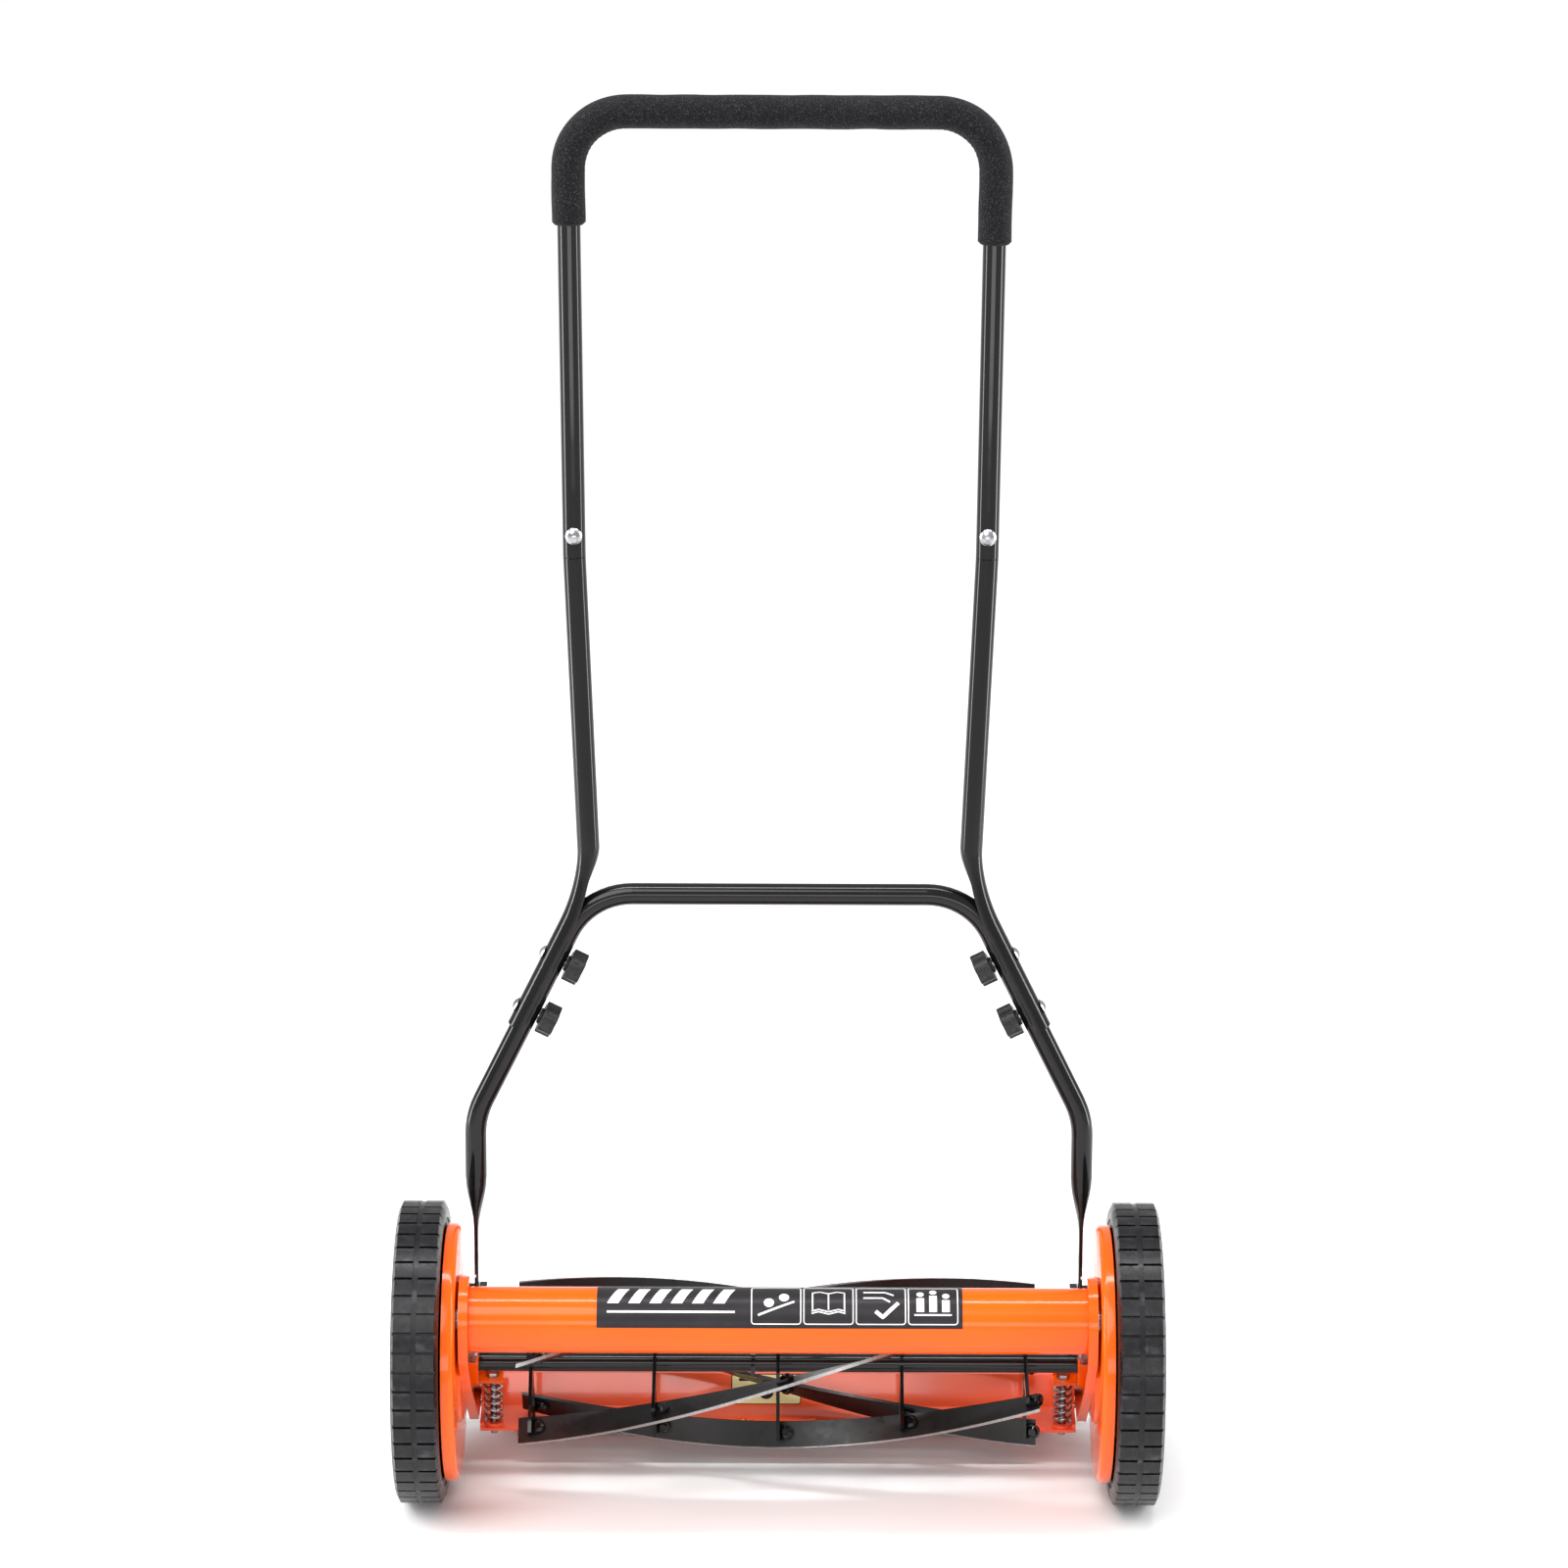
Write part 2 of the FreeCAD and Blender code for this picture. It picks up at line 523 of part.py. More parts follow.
def spider(x):
    """Five-armed plate on the shaft; each arm ends in a tab bent along its blade."""
    half = SPIDER_THICK / 2
    parts = [cyl_x(SPIDER_HUB_R, x - half, x + half, REEL_AT)]
    tilt = math.degrees(math.atan(RIVET_R * TWIST))
    for index in range(BLADES):
        angle = math.degrees(blade_angle(index, x))
        arm = box((-half, 2.3, 6.0), (half, 12.0, SPIDER_ARM_END))
        arm.rotate(ORIGIN, X_AXIS, 90.0 - angle)
        arm = on_reel(arm, x)
        tab = box((-RIVET_AHEAD + 0.4, TAB_Y[0], -TAB_R), (0, TAB_Y[1], TAB_R))
        tab = tab.fuse(Part.makeCylinder(TAB_R, TAB_Y[1] - TAB_Y[0], V(0, TAB_Y[0], 0), Y_AXIS))
        tab.rotate(ORIGIN, Z_AXIS, tilt)
        tab.translate(V(RIVET_AHEAD, 0, RIVET_R))
        tab.rotate(ORIGIN, X_AXIS, 90.0 - math.degrees(blade_angle(index, x + RIVET_AHEAD)))
        tab = on_reel(tab, x)
        parts += [arm, tab]
    plate = fuse(parts).cut(cyl_x(SHAFT_R + 0.02, x - 20, x + 20, REEL_AT))
    for index in range(BLADES):
        place, normal = rivet_axis(index, x)
        plate = plate.cut(Part.makeCylinder(RIVET_SHANK_R + 0.02, 8, place - normal * 1.6, normal))
    return plate


def shaft_collar():
    """Locking collar beside the middle spider."""
    x0, x1 = COLLAR_X
    ring = cyl_x(COLLAR_R, x0, x1, REEL_AT)
    lug = box((x0, -COLLAR_LUG[0], 0.0), (x1, COLLAR_LUG[0], COLLAR_LUG[1]))
    lug.rotate(ORIGIN, X_AXIS, 90.0 - math.degrees(blade_angle(0, x0)))
    return fuse([ring, on_reel(lug, 0.0)]).cut(cyl_x(SHAFT_R + 0.02, x0 - 1, x1 + 1, REEL_AT))


# ---------------------------------------------------------------- cutter bar

def bar_section():
    """Folded sheet: sloping bed, rising face, short top flange (y, z)."""
    bed, rise = math.radians(10), math.radians(50)
    front = (KNIFE_EDGE[0] + 4.0, KNIFE_EDGE[1] + 0.6)
    fold = (front[0] + 34.5 * math.cos(bed), front[1] + 34.5 * math.sin(bed))
    top = (fold[0] + 29.0 * math.cos(rise), fold[1] + 29.0 * math.sin(rise))
    back = (top[0] + 10.0, top[1] - 1.0)
    return [front, fold, top, back]


def thickened(section, thickness):
    """Closed outline of a folded sheet whose upper face follows the section."""
    offsets = []
    for i, (y, z) in enumerate(section):
        near = section[max(i - 1, 0)]
        far = section[min(i + 1, len(section) - 1)]
        first = math.atan2(z - near[1], y - near[0]) if i > 0 else None
        second = math.atan2(far[1] - z, far[0] - y) if i < len(section) - 1 else None
        first = second if first is None else first
        second = first if second is None else second
        middle = (first + second) / 2
        reach = thickness / math.cos((second - first) / 2)
        offsets.append((y + reach * math.sin(middle), z - reach * math.cos(middle)))
    return section + offsets[::-1]


def cutter_bar():
    corners = [V(-BAR_END_X, y, z) for y, z in thickened(bar_section(), SHEET)]
    bar = Part.Face(Part.makePolygon(corners + corners[:1])).extrude(V(2 * BAR_END_X, 0, 0))
    parts = [bar]
    end_plate = rounded_plate(BAR_END_OUTLINE, BAR_END_X, BAR_END_X + BAR_END_THICK)
    seat = Part.makeCylinder(SEAT_R, SEAT_DEPTH, V(*SPRING_AT, SPRING_Z[0] - SEAT_DEPTH), Z_AXIS)
    for solid in (end_plate, seat):
        parts += [solid, mirrored(solid)]
    bar = fuse(parts)
    cuts = [box((BAR_NOTCH[0], BAR_NOTCH[1] - 20, -120.0), (260.0, BAR_NOTCH[1], -80.0)),
            Part.makeCylinder(ADJUSTER_R + 0.6, 30, V(*SPRING_AT, ADJUSTER_END_Z - 9), Z_AXIS),
            cyl_x(BAR_PIVOT_R + RUNNING, 250.0, 260.0, BAR_PIVOT)]
    for cut in cuts:
        bar = bar.cut(cut).cut(mirrored(cut))
    for x in KNIFE_SCREW_X:
        bar = bar.cut(knife_screw_shank(x, 2.55))
    return bar


def knife_screw_place(x):
    front, fold = bar_section()[:2]
    share = 0.45
    place = V(x, front[0] + share * (fold[0] - front[0]), front[1] + share * (fold[1] - front[1]))
    bed = math.atan2(fold[1] - front[1], fold[0] - front[0])
    return place, V(0, -math.sin(bed), math.cos(bed))


def knife_screw_shank(x, radius):
    place, up = knife_screw_place(x)
    return Part.makeCylinder(radius, SHEET + 3.2, place - up * (SHEET + 3.1), up)


def knife_screws():
    screws = []
    for x in KNIFE_SCREW_X:
        place, up = knife_screw_place(x)
        screws.append(fuse([knife_screw_shank(x, 2.5), dome(3.6, 1.6, place, up)]))
    return Part.makeCompound(screws)


def bed_knife():
    """Steel strip under the bar; its front lip carries the cutting edge."""
    front, fold = bar_section()[:2]
    bed = math.atan2(fold[1] - front[1], fold[0] - front[0])
    along, down = V(0, math.cos(bed), math.sin(bed)), V(0, math.sin(bed), -math.cos(bed))
    under = V(-BLADE_HALF_LENGTH - 4, *front) + down * SHEET
    edge = V(-BLADE_HALF_LENGTH - 4, *KNIFE_EDGE)
    corners = [edge, under - along * 1.0, under + along * 24.0, under + along * 24.0 + down * 3.0,
               under - along * 1.5 + down * 3.0]
    strip = Part.Face(Part.makePolygon(corners + corners[:1])).extrude(V(2 * BLADE_HALF_LENGTH + 8, 0, 0))
    for x in KNIFE_SCREW_X:
        strip = strip.cut(knife_screw_shank(x, 2.55))
    return strip


# ---------------------------------------------------------------- rear roller

def roller_bracket():
    """Slotted strip outside the side plate; slides up and down on the clamp bolts."""
    y, half = ROLLER_AT[0], 10.0
    x0, x1 = WEB_X[1] + 0.3, WEB_X[1] + 2.8
    outline = [(y - half, ROLLER_AT[1] - half, 9.0), (y + half, ROLLER_AT[1] - half, 9.0),
               (y + half, -28.0, 5.0), (y - half, -28.0, 5.0)]
    slot = [(y - 4.2, -98.0, 4.0), (y + 4.2, -98.0, 4.0), (y + 4.2, -36.0, 4.0), (y - 4.2, -36.0, 4.0)]
    strip = rounded_plate(outline, x0, x1).cut(rounded_plate(slot, x0 - 1, x1 + 1))
    return strip.cut(cyl_x(4.05, x0 - 1, x1 + 1, ROLLER_AT))


def roller_axle():
    rod = cyl_x(4.0, -270.0, 270.0, ROLLER_AT)
    collar = cyl_x(7.0, 241.0, 243.0, ROLLER_AT)
    cap = hexagon_x(12.0, WEB_X[1] + 2.85, 271.5, ROLLER_AT)
    return fuse([rod, collar, cap, mirrored(collar), mirrored(cap)])


def rear_roller():
    """Moulded roller with a shallow groove between its five bands."""
    groove, groove_half, bands = 1.5, 2.0, 5
    outline = [(-ROLLER_HALF, 4.0 + RUNNING), (-ROLLER_HALF, ROLLER_R - 1.5), (-ROLLER_HALF + 1.5, ROLLER_R)]
    for i in range(1, bands):
        x = -ROLLER_HALF + 2 * ROLLER_HALF * i / bands
        outline += [(x - groove_half, ROLLER_R), (x - groove_half, ROLLER_R - groove),
                    (x + groove_half, ROLLER_R - groove), (x + groove_half, ROLLER_R)]
    outline += [(ROLLER_HALF - 1.5, ROLLER_R), (ROLLER_HALF, ROLLER_R - 1.5), (ROLLER_HALF, 4.0 + RUNNING)]
    return turned_x(outline, ROLLER_AT)


def clamp_bolt(z):
    """Carriage bolt with a plain wing-less nut, head inside the side plate."""
    at = (ROLLER_AT[0], z)
    head = dome(7.5, 3.0, V(WEB_X[0], at[0], at[1]), X_AXIS * -1)
    shank = cyl_x(3.95, WEB_X[0] - 0.1, 276.0, at)
    nut = hexagon_x(13.0, 268.1, 274.0, at)
    return fuse([head, shank, nut])


# ---------------------------------------------------------------- handle

def leaned(shape):
    """From the handle's own upright plane to its place on the pivots."""
    shape.rotate(ORIGIN, X_AXIS, -math.degrees(LEAN))
    shape.translate(V(0, *PIVOT_AT))
    return shape


def bracket_leg():
    """Flattened lower end of the bracket tube, with its pivot eye."""
    half = STRAP_THICK / 2
    tip = 1.2
    corners = [V(half, 0, 0), V(half, STRAP_HALF, 0), V(-half, STRAP_HALF, 0), V(-half, -STRAP_HALF, 0),
               V(half, -STRAP_HALF, 0), V(half, 0, 0)]
    flat = ring(rounded_path(corners, [0, tip, tip, tip, tip, 0]))
    tube = ring(Part.Wire(Part.makeCircle((BRACKET_R - SKIN_INSET) * RING_SPREAD)))
    press_h = ROUND_END_H - FLAT_END_H
    levels = [(0.0, ROUND_END_H + 3.0), (0.0, ROUND_END_H)]
    levels += [(eased(i / PRESS_STEPS), ROUND_END_H - press_h * i / PRESS_STEPS) for i in range(1, PRESS_STEPS)]
    levels += [(1.0, FLAT_END_H - (FLAT_END_H + 20.0) * i / PRESS_STEPS) for i in range(PRESS_STEPS + 1)]
    leg = skinned([[V(STRAP_W + p.x, p.y, h) for p in mixed(tube, flat, share)] for share, h in levels])
    eye = cyl_x(STRAP_HALF, STRAP_W - BRACKET_R - 1, STRAP_W + BRACKET_R + 1)
    above = box((STRAP_W - BRACKET_R - 1, -STRAP_HALF - 5, 0), (STRAP_W + BRACKET_R + 1, STRAP_HALF + 5, 300))
    hole = cyl_x(AXLE_THREAD_R + RUNNING, STRAP_W - 3, STRAP_W + 3)
    return leg.common(eye.fuse(above)).cut(hole)


def bracket_path(foot_h):
    points = [V(-STRAP_W, 0, foot_h), V(-BRACKET_KINK[0], 0, BRACKET_KINK[1]),
              V(-BRACKET_CORNER[0], 0, BRACKET_CORNER[1]), V(BRACKET_CORNER[0], 0, BRACKET_CORNER[1]),
              V(BRACKET_KINK[0], 0, BRACKET_KINK[1]), V(STRAP_W, 0, foot_h)]
    return rounded_path(points, [0, 70.0, 60.0, 60.0, 70.0, 0])


def slant_frame():
    """Corner point, direction down the slant and outward normal, on the right."""
    corner = V(BRACKET_CORNER[0], 0, BRACKET_CORNER[1])
    along = (V(BRACKET_KINK[0], 0, BRACKET_KINK[1]) - corner).normalize()
    return corner, along, V(-along.z, 0, along.x)


def clamp_place(h):
    corner, along, outward = slant_frame()
    return corner + along * ((h - corner.z) / along.z), outward


def clamp_hole(h, radius):
    place, outward = clamp_place(h)
    return Part.makeCylinder(radius, 60, place - outward * 30, outward)


def lower_bracket():
    tube = bent_rod(bracket_path(ROUND_END_H), BRACKET_R)
    tube = tube.cut(bent_rod(bracket_path(ROUND_END_H + 6.0), BRACKET_R - WALL))
    leg = bracket_leg()
    for solid in (leg, mirrored(leg)):
        tube = tube.fuse(solid)
    for h in CLAMP_BOLT_H.values():
        hole = clamp_hole(h, BOLT_HOLE_R)
        tube = tube.cut(hole).cut(mirrored(hole))
    return tube


def saddle_ring():
    """Channel pressed into the foot of the mid tube, open towards the inside of the bracket."""
    outer_r, inner_r, reach = BRACKET_R + 2.4, BRACKET_R + 0.2, math.radians(100)

    def spot(radius, angle):
        return V(radius * math.cos(angle), radius * math.sin(angle), 0)

    def lip(side):
        edge, middle = side * reach, (outer_r + inner_r) / 2
        beyond = spot(middle, edge) + spot((outer_r - inner_r) / 2, edge + side * math.pi / 2)
        return [spot(outer_r, edge), beyond, spot(inner_r, edge)]

    arcs = [[spot(outer_r, 0), spot(outer_r, reach / 2), spot(outer_r, reach)], lip(1),
            [spot(inner_r, reach), spot(inner_r, 0), spot(inner_r, -reach)], lip(-1)[::-1],
            [spot(outer_r, -reach), spot(outer_r, -reach / 2), spot(outer_r, 0)]]
    return ring(Part.Wire([Part.Arc(*arc).toShape() for arc in arcs]))


def mid_tube():
    """Middle tube of one side: swaged into the upper loop at its top, pressed over the bracket at its foot."""
    corner, along, outward = slant_frame()
    foot = V(SEAT_TOP[0], 0, SEAT_TOP[1])
    top = V(SPLICE_W, 0, SPLICE_H)
    up = (top - foot).normalize()
    crush = foot + up * ((CRUSH_H - foot.z) / up.z)
    side = V(up.z, 0, -up.x)
    round_part = Part.makeCylinder(TUBE19_R, (top - crush).Length, crush, up)
    upper_up = V(TOP_W - SPLICE_W, 0, TOP_H - SPLICE_H).normalize()
    swage_r = TUBE19_R - WALL - 0.1
    swage = Part.makeCylinder(swage_r, SWAGE_TOP_H - SPLICE_H, top - upper_up * 0.5, upper_up)
    bores = [Part.makeCylinder(TUBE19_R - WALL, (top - crush).Length - 8, crush + up * 6, up),
             Part.makeCylinder(swage_r - WALL, 80, top - upper_up * 5, upper_up)]
    end = (SADDLE_END_H - corner.z) / along.z
    seat = corner + along * SEAT_START
    tube = ring(Part.Wire(Part.makeCircle((TUBE19_R - SKIN_INSET) * RING_SPREAD)))
    channel = saddle_ring()
    stations = [(0.0, crush + up * 4, side), (0.0, crush + up * 1, side)]
    for i in range(PRESS_STEPS + 1):
        share = eased(min(1.0, i / (PRESS_STEPS * PRESSED_BY)))
        centre = (crush - up * 2 - up * (CRUSH_H - foot.z) * (i / PRESS_STEPS)) * (1 - share)
        centre += (seat - along * SEAT_START * (1 - i / PRESS_STEPS)) * share
        stations.append((share, centre, (side * (1 - share) + outward * share).normalize()))
    stations += [(1.0, seat + along * (end - SEAT_START) * (i / PRESS_STEPS), outward)
                 for i in range(1, PRESS_STEPS + 1)]
    pressed = skinned([[centre + normal * p.x + Y_AXIS * p.y for p in mixed(tube, channel, share)]
                       for share, centre, normal in stations])
    tube = round_part.fuse(swage).cut(bores[0]).cut(bores[1]).fuse(pressed)
    for h in CLAMP_BOLT_H.values():
        tube = tube.cut(clamp_hole(h, BOLT_HOLE_R))
    return tube.cut(splice_shank(BOLT_HOLE_R))


def upper_path(start_h):
    """Centreline of the top loop, from each side's given height."""
    slope = (TOP_W - SPLICE_W) / (TOP_H - SPLICE_H)
    ends = {side: SPLICE_W + slope * (h - SPLICE_H) for side, h in start_h.items()}
    points = [V(-ends[-1], 0, start_h[-1]), V(-TOP_W, 0, TOP_H), V(TOP_W, 0, TOP_H), V(ends[1], 0, start_h[1])]
    return rounded_path(points, [0, TOP_CORNER_R, TOP_CORNER_R, 0])


def upper_handle():
    path = upper_path({side: SPLICE_H + SPLICE_GAP for side in (-1, 1)})
    tube = bent_rod(path, TUBE19_R).cut(bent_rod(path, TUBE19_R - WALL))
    hole = splice_shank(BOLT_HOLE_R)
    return tube.cut(hole).cut(mirrored(hole))


def foam_grip():
    path = upper_path(GRIP_ENDS_H)
    return bent_rod(path, GRIP_R).cut(bent_rod(path, TUBE19_R))


def splice_shank(radius):
    w = SPLICE_W + (TOP_W - SPLICE_W) * (SPLICE_BOLT_H - SPLICE_H) / (TOP_H - SPLICE_H)
    return Part.makeCylinder(radius, 2 * TUBE19_R + 9, V(w, -TUBE19_R - 0.5, SPLICE_BOLT_H), Y_AXIS)


def splice_bolt():
    shank = splice_shank(BOLT_R)
    w = shank.BoundBox.Center.x
    head = dome(*SPLICE_HEAD, V(w, -TUBE19_R, SPLICE_BOLT_H), Y_AXIS * -1)
    nut = dome(*SPLICE_NUT, V(w, TUBE19_R, SPLICE_BOLT_H), Y_AXIS)
    return fuse([shank.common(box((0, -TUBE19_R - 1, 0), (400, TUBE19_R + 1, 900))), head, nut])


def handle_clamp_bolt(h):
    """Carriage bolt through saddle and bracket tube; its free end takes the knob."""
    place, outward = clamp_place(h)
    seat = BRACKET_R + 2.4
    length = seat + BRACKET_R + KNOB_GAP + KNOB_HUB + KNOB_THREAD
    shank = Part.makeCylinder(BOLT_R, length, place + outward * seat, outward * -1)
    return fuse([shank, dome(*CLAMP_HEAD, place + outward * seat, outward)])


def knob(h):
    """Lobed clamping knob on the inner side of the slant."""
    quarter = 4 * KNOB_LOBES
    reach = [KNOB_R - share * KNOB_LOBE_DEPTH for share in (0, 0.5, 1, 0.5)]
    points = [V(reach[i % 4] * math.cos(2 * math.pi * i / quarter),
                reach[i % 4] * math.sin(2 * math.pi * i / quarter), KNOB_HUB) for i in range(-1, quarter)]
    arcs = [Part.Arc(*points[i:i + 3]).toShape() for i in range(0, quarter, 2)]
    head = Part.Face(Part.Wire(arcs)).extrude(V(0, 0, KNOB_THICK))
    hub = Part.makeCylinder(KNOB_HUB_R, KNOB_HUB + 0.1)
    bore = Part.makeCylinder(BOLT_R + RUNNING, KNOB_HUB + KNOB_THREAD + 1.0, V(0, 0, -0.5))
    body = fuse([head, hub]).cut(bore)
    place, outward = clamp_place(h)
    turn = FreeCAD.Rotation(Z_AXIS, outward * -1)
    body.Placement = FreeCAD.Placement(place - outward * (BRACKET_R + KNOB_GAP), turn)
    return body


# ---------------------------------------------------------------- writing

def nodes():
    yield "front_tube", front_tube()
    yield "tie_rod", tie_rod()
    sided = {"side_plate": side_plate, "dust_cover": dust_cover, "axle": axle,
             "bearing_housing": bearing_housing, "ball_bearing": ball_bearing, "spring": coil_spring,
             "tyre": tyre, "wheel": wheel, "hub_cap": hub_cap, "pinion": pinion,
             "roller_bracket": roller_bracket}
    for name, make in sided.items():
        shape = make()
        for side_name, side in SIDES.items():
            yield f"{name}_{side_name}", handed(shape, side)
    yield "axle_nuts", pair(axle_nut())
    yield "adjuster_bolts", pair(adjuster_bolt())
    yield "handle_pivot_bolts", pair(handle_pivot_bolt())
    yield "bar_pivot_bolts", pair(bar_pivot_bolt())
    yield "roller_clamp_bolts", Part.makeCompound([pair(clamp_bolt(z)) for z in CLAMP_Z])
    yield "reel_shaft", reel_shaft()
    for index in range(BLADES):
        yield f"reel_blade_{index + 1}", blade(index)
    for number, x in enumerate(SPIDER_X, start=1):
        yield f"reel_spider_{number}", spider(x)
    yield "shaft_collar", shaft_collar()
    yield "blade_rivets", Part.makeCompound([rivet(i, x) for x in SPIDER_X for i in range(BLADES)])
    yield "pawls", pair(pawl())
    yield "circlips", pair(circlip())
    yield "cutter_bar", cutter_bar()
    yield "bed_knife", bed_knife()
    yield "bed_knife_screws", knife_screws()
    yield "roller_axle", roller_axle()
    yield "rear_roller", rear_roller()
    yield "lower_bracket", leaned(lower_bracket())
    yield "upper_handle", leaned(upper_handle())
    yield "foam_grip", leaned(foam_grip())
    tube = mid_tube()
    bolts = []
    for side_name, side in SIDES.items():
        yield f"mid_tube_{side_name}", leaned(handed(tube.copy(), side))
        for level, h in CLAMP_BOLT_H.items():
            yield f"knob_{level}_{side_name}", leaned(handed(knob(h), side))
            bolts.append(handed(handle_clamp_bolt(h), side))
    yield "handle_clamp_bolts", leaned(Part.makeCompound(bolts))
    yield "splice_bolts", leaned(pair(splice_bolt()))


os.makedirs("parts", exist_ok=True)
for node, shape in nodes():
    shape.translate(V(0, AXLE_Y, WHEEL_R))
    shape.exportStep(f"parts/{node}.step")
    bounds = shape.BoundBox
    print(f"{node:22s} solids {len(shape.Solids)} valid {shape.isValid()} volume {shape.Volume:10.0f} "
          f"x {bounds.XMin:7.1f} {bounds.XMax:7.1f} y {bounds.YMin:7.1f} {bounds.YMax:7.1f} "
          f"z {bounds.ZMin:7.1f} {bounds.ZMax:7.1f}")
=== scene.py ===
import json
import math
import random

import bmesh
import bpy
from mathutils import Matrix, Vector


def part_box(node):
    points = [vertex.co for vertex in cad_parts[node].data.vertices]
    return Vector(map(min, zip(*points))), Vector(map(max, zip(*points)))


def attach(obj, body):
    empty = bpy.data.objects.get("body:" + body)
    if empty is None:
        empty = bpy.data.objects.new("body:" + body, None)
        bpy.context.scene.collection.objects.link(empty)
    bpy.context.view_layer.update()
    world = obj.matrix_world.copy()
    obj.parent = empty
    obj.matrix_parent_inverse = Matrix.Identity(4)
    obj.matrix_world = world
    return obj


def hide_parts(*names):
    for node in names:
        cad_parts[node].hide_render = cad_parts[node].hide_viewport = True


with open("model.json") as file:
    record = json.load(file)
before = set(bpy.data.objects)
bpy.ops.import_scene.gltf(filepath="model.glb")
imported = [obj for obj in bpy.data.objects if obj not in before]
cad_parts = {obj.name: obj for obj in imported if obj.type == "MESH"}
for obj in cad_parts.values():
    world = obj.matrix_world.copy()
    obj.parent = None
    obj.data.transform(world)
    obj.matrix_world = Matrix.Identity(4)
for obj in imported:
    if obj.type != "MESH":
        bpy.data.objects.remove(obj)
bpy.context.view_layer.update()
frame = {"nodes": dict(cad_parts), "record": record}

# Looks of the push reel mower: finishes on every CAD node, softened edges on tyres, tubes, sheet and moulded
# parts, the foam grip, the labels, and the studio.  Metres, X to the right, Y from front to user, Z up.
random.seed(7)
NODES = frame["nodes"]
BODY_OF = {node: body for body, members in frame["record"]["behaviour"]["bodies"].items() for node in members}
SLOT_OF = {part["node"]: part["material_slot"] for part in frame["record"]["subparts"]}
HANDS = ("left", "right")

# Points of the CAD that the looks are drawn from.
WHEEL_R = 0.127
AXLE = Vector((0.0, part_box("tyre_left")[0].y + WHEEL_R, WHEEL_R))
REEL = Vector((0.0, AXLE.y + 0.035, AXLE.z - 0.026665))
TUBE = Vector((0.0, AXLE.y - 0.043, AXLE.z + 0.0505))
TUBE_R = 0.0275
HANDLE_PIVOT = Vector((0.0, AXLE.y + 0.072, AXLE.z + 0.020))
HANDLE_LEAN = math.radians(6.2)
BAR_FOLD = Vector((0.0, AXLE.y + 0.082976, AXLE.z - 0.092009))
BAR_RISE = math.radians(50.0)


# ---------------------------------------------------------------- materials

MIX_FIRST, MIX_SECOND, MIX_RESULT = 6, 7, 2     # colour sockets of the mix node


class Finish:
    """A Principled material with short ways to add patterns."""

    def __init__(self, name, **sockets):
        self.material = bpy.data.materials.new(name)
        self.material.use_nodes = True
        self.tree = self.material.node_tree
        self.shader = self.tree.nodes["Principled BSDF"]
        for socket, value in sockets.items():
            self.shader.inputs[socket.replace("_", " ")].default_value = value
        self.place = self.add("ShaderNodeTexCoord").outputs["Object"]
        self.normal = None

    def add(self, kind, **settings):
        node = self.tree.nodes.new(kind)
        for key, value in settings.items():
            setattr(node, key, value)
        return node

    def link(self, source, target):
        self.tree.links.new(source, target)

    def stretched(self, scale):
        mapping = self.add("ShaderNodeMapping")
        mapping.inputs["Scale"].default_value = scale
        self.link(self.place, mapping.inputs["Vector"])
        return mapping.outputs["Vector"]

    def noise(self, scale, detail=3.0, rough=0.55, vector=None):
        node = self.add("ShaderNodeTexNoise")
        node.inputs["Scale"].default_value = scale
        node.inputs["Detail"].default_value = detail
        node.inputs["Roughness"].default_value = rough
        self.link(vector or self.place, node.inputs["Vector"])
        return node.outputs["Fac"]

    def cells(self, scale, feature="F1", output="Distance"):
        node = self.add("ShaderNodeTexVoronoi", feature=feature)
        node.inputs["Scale"].default_value = scale
        self.link(self.place, node.inputs["Vector"])
        return node.outputs[output]

    def ranged(self, value, low=0.3, high=0.7, to_low=0.0, to_high=1.0):
        """Spreads low-high over to_low-to_high; most of a noise lies within the default low and high."""
        node = self.add("ShaderNodeMapRange")
        for socket, number in zip(("From Min", "From Max", "To Min", "To Max"), (low, high, to_low, to_high)):
            node.inputs[socket].default_value = number
        self.link(value, node.inputs["Value"])
        return node.outputs["Result"]

    def calc(self, operation, first, second=None):
        node = self.add("ShaderNodeMath", operation=operation)
        for socket, value in zip(node.inputs, (first, second)):
            if value is None:
                continue
            if isinstance(value, (int, float)):
                socket.default_value = value
            else:
                self.link(value, socket)
        return node.outputs["Value"]

    def mixed(self, factor, first, second):
        node = self.add("ShaderNodeMix", data_type="RGBA")
        self.link(factor, node.inputs["Factor"])
        for socket, value in ((node.inputs[MIX_FIRST], first), (node.inputs[MIX_SECOND], second)):
            if isinstance(value, tuple):
                socket.default_value = value
            else:
                self.link(value, socket)
        return node.outputs[MIX_RESULT]

    def colour(self, value):
        self.link(value, self.shader.inputs["Base Color"])

    def roughness(self, value):
        self.link(value, self.shader.inputs["Roughness"])

    def patchy_roughness(self, low, high, scale, detail=3.0):
        self.roughness(self.ranged(self.noise(scale, detail), to_low=low, to_high=high))

    def bump(self, value, strength, distance):
        """Adds relief on top of the bumps made so far."""
        node = self.add("ShaderNodeBump")
        node.inputs["Strength"].default_value = strength
        node.inputs["Distance"].default_value = distance
        self.link(value, node.inputs["Height"])
        if self.normal is not None:
            self.link(self.normal, node.inputs["Normal"])
        self.normal = node.outputs["Normal"]
        self.link(self.normal, self.shader.inputs["Normal"])


def srgb(red, green, blue):
    """A linear colour from 0-255 display levels."""
    def linear(level):
        level /= 255.0
        return level / 12.92 if level <= 0.04045 else ((level + 0.055) / 1.055) ** 2.4
    return (linear(red), linear(green), linear(blue), 1.0)


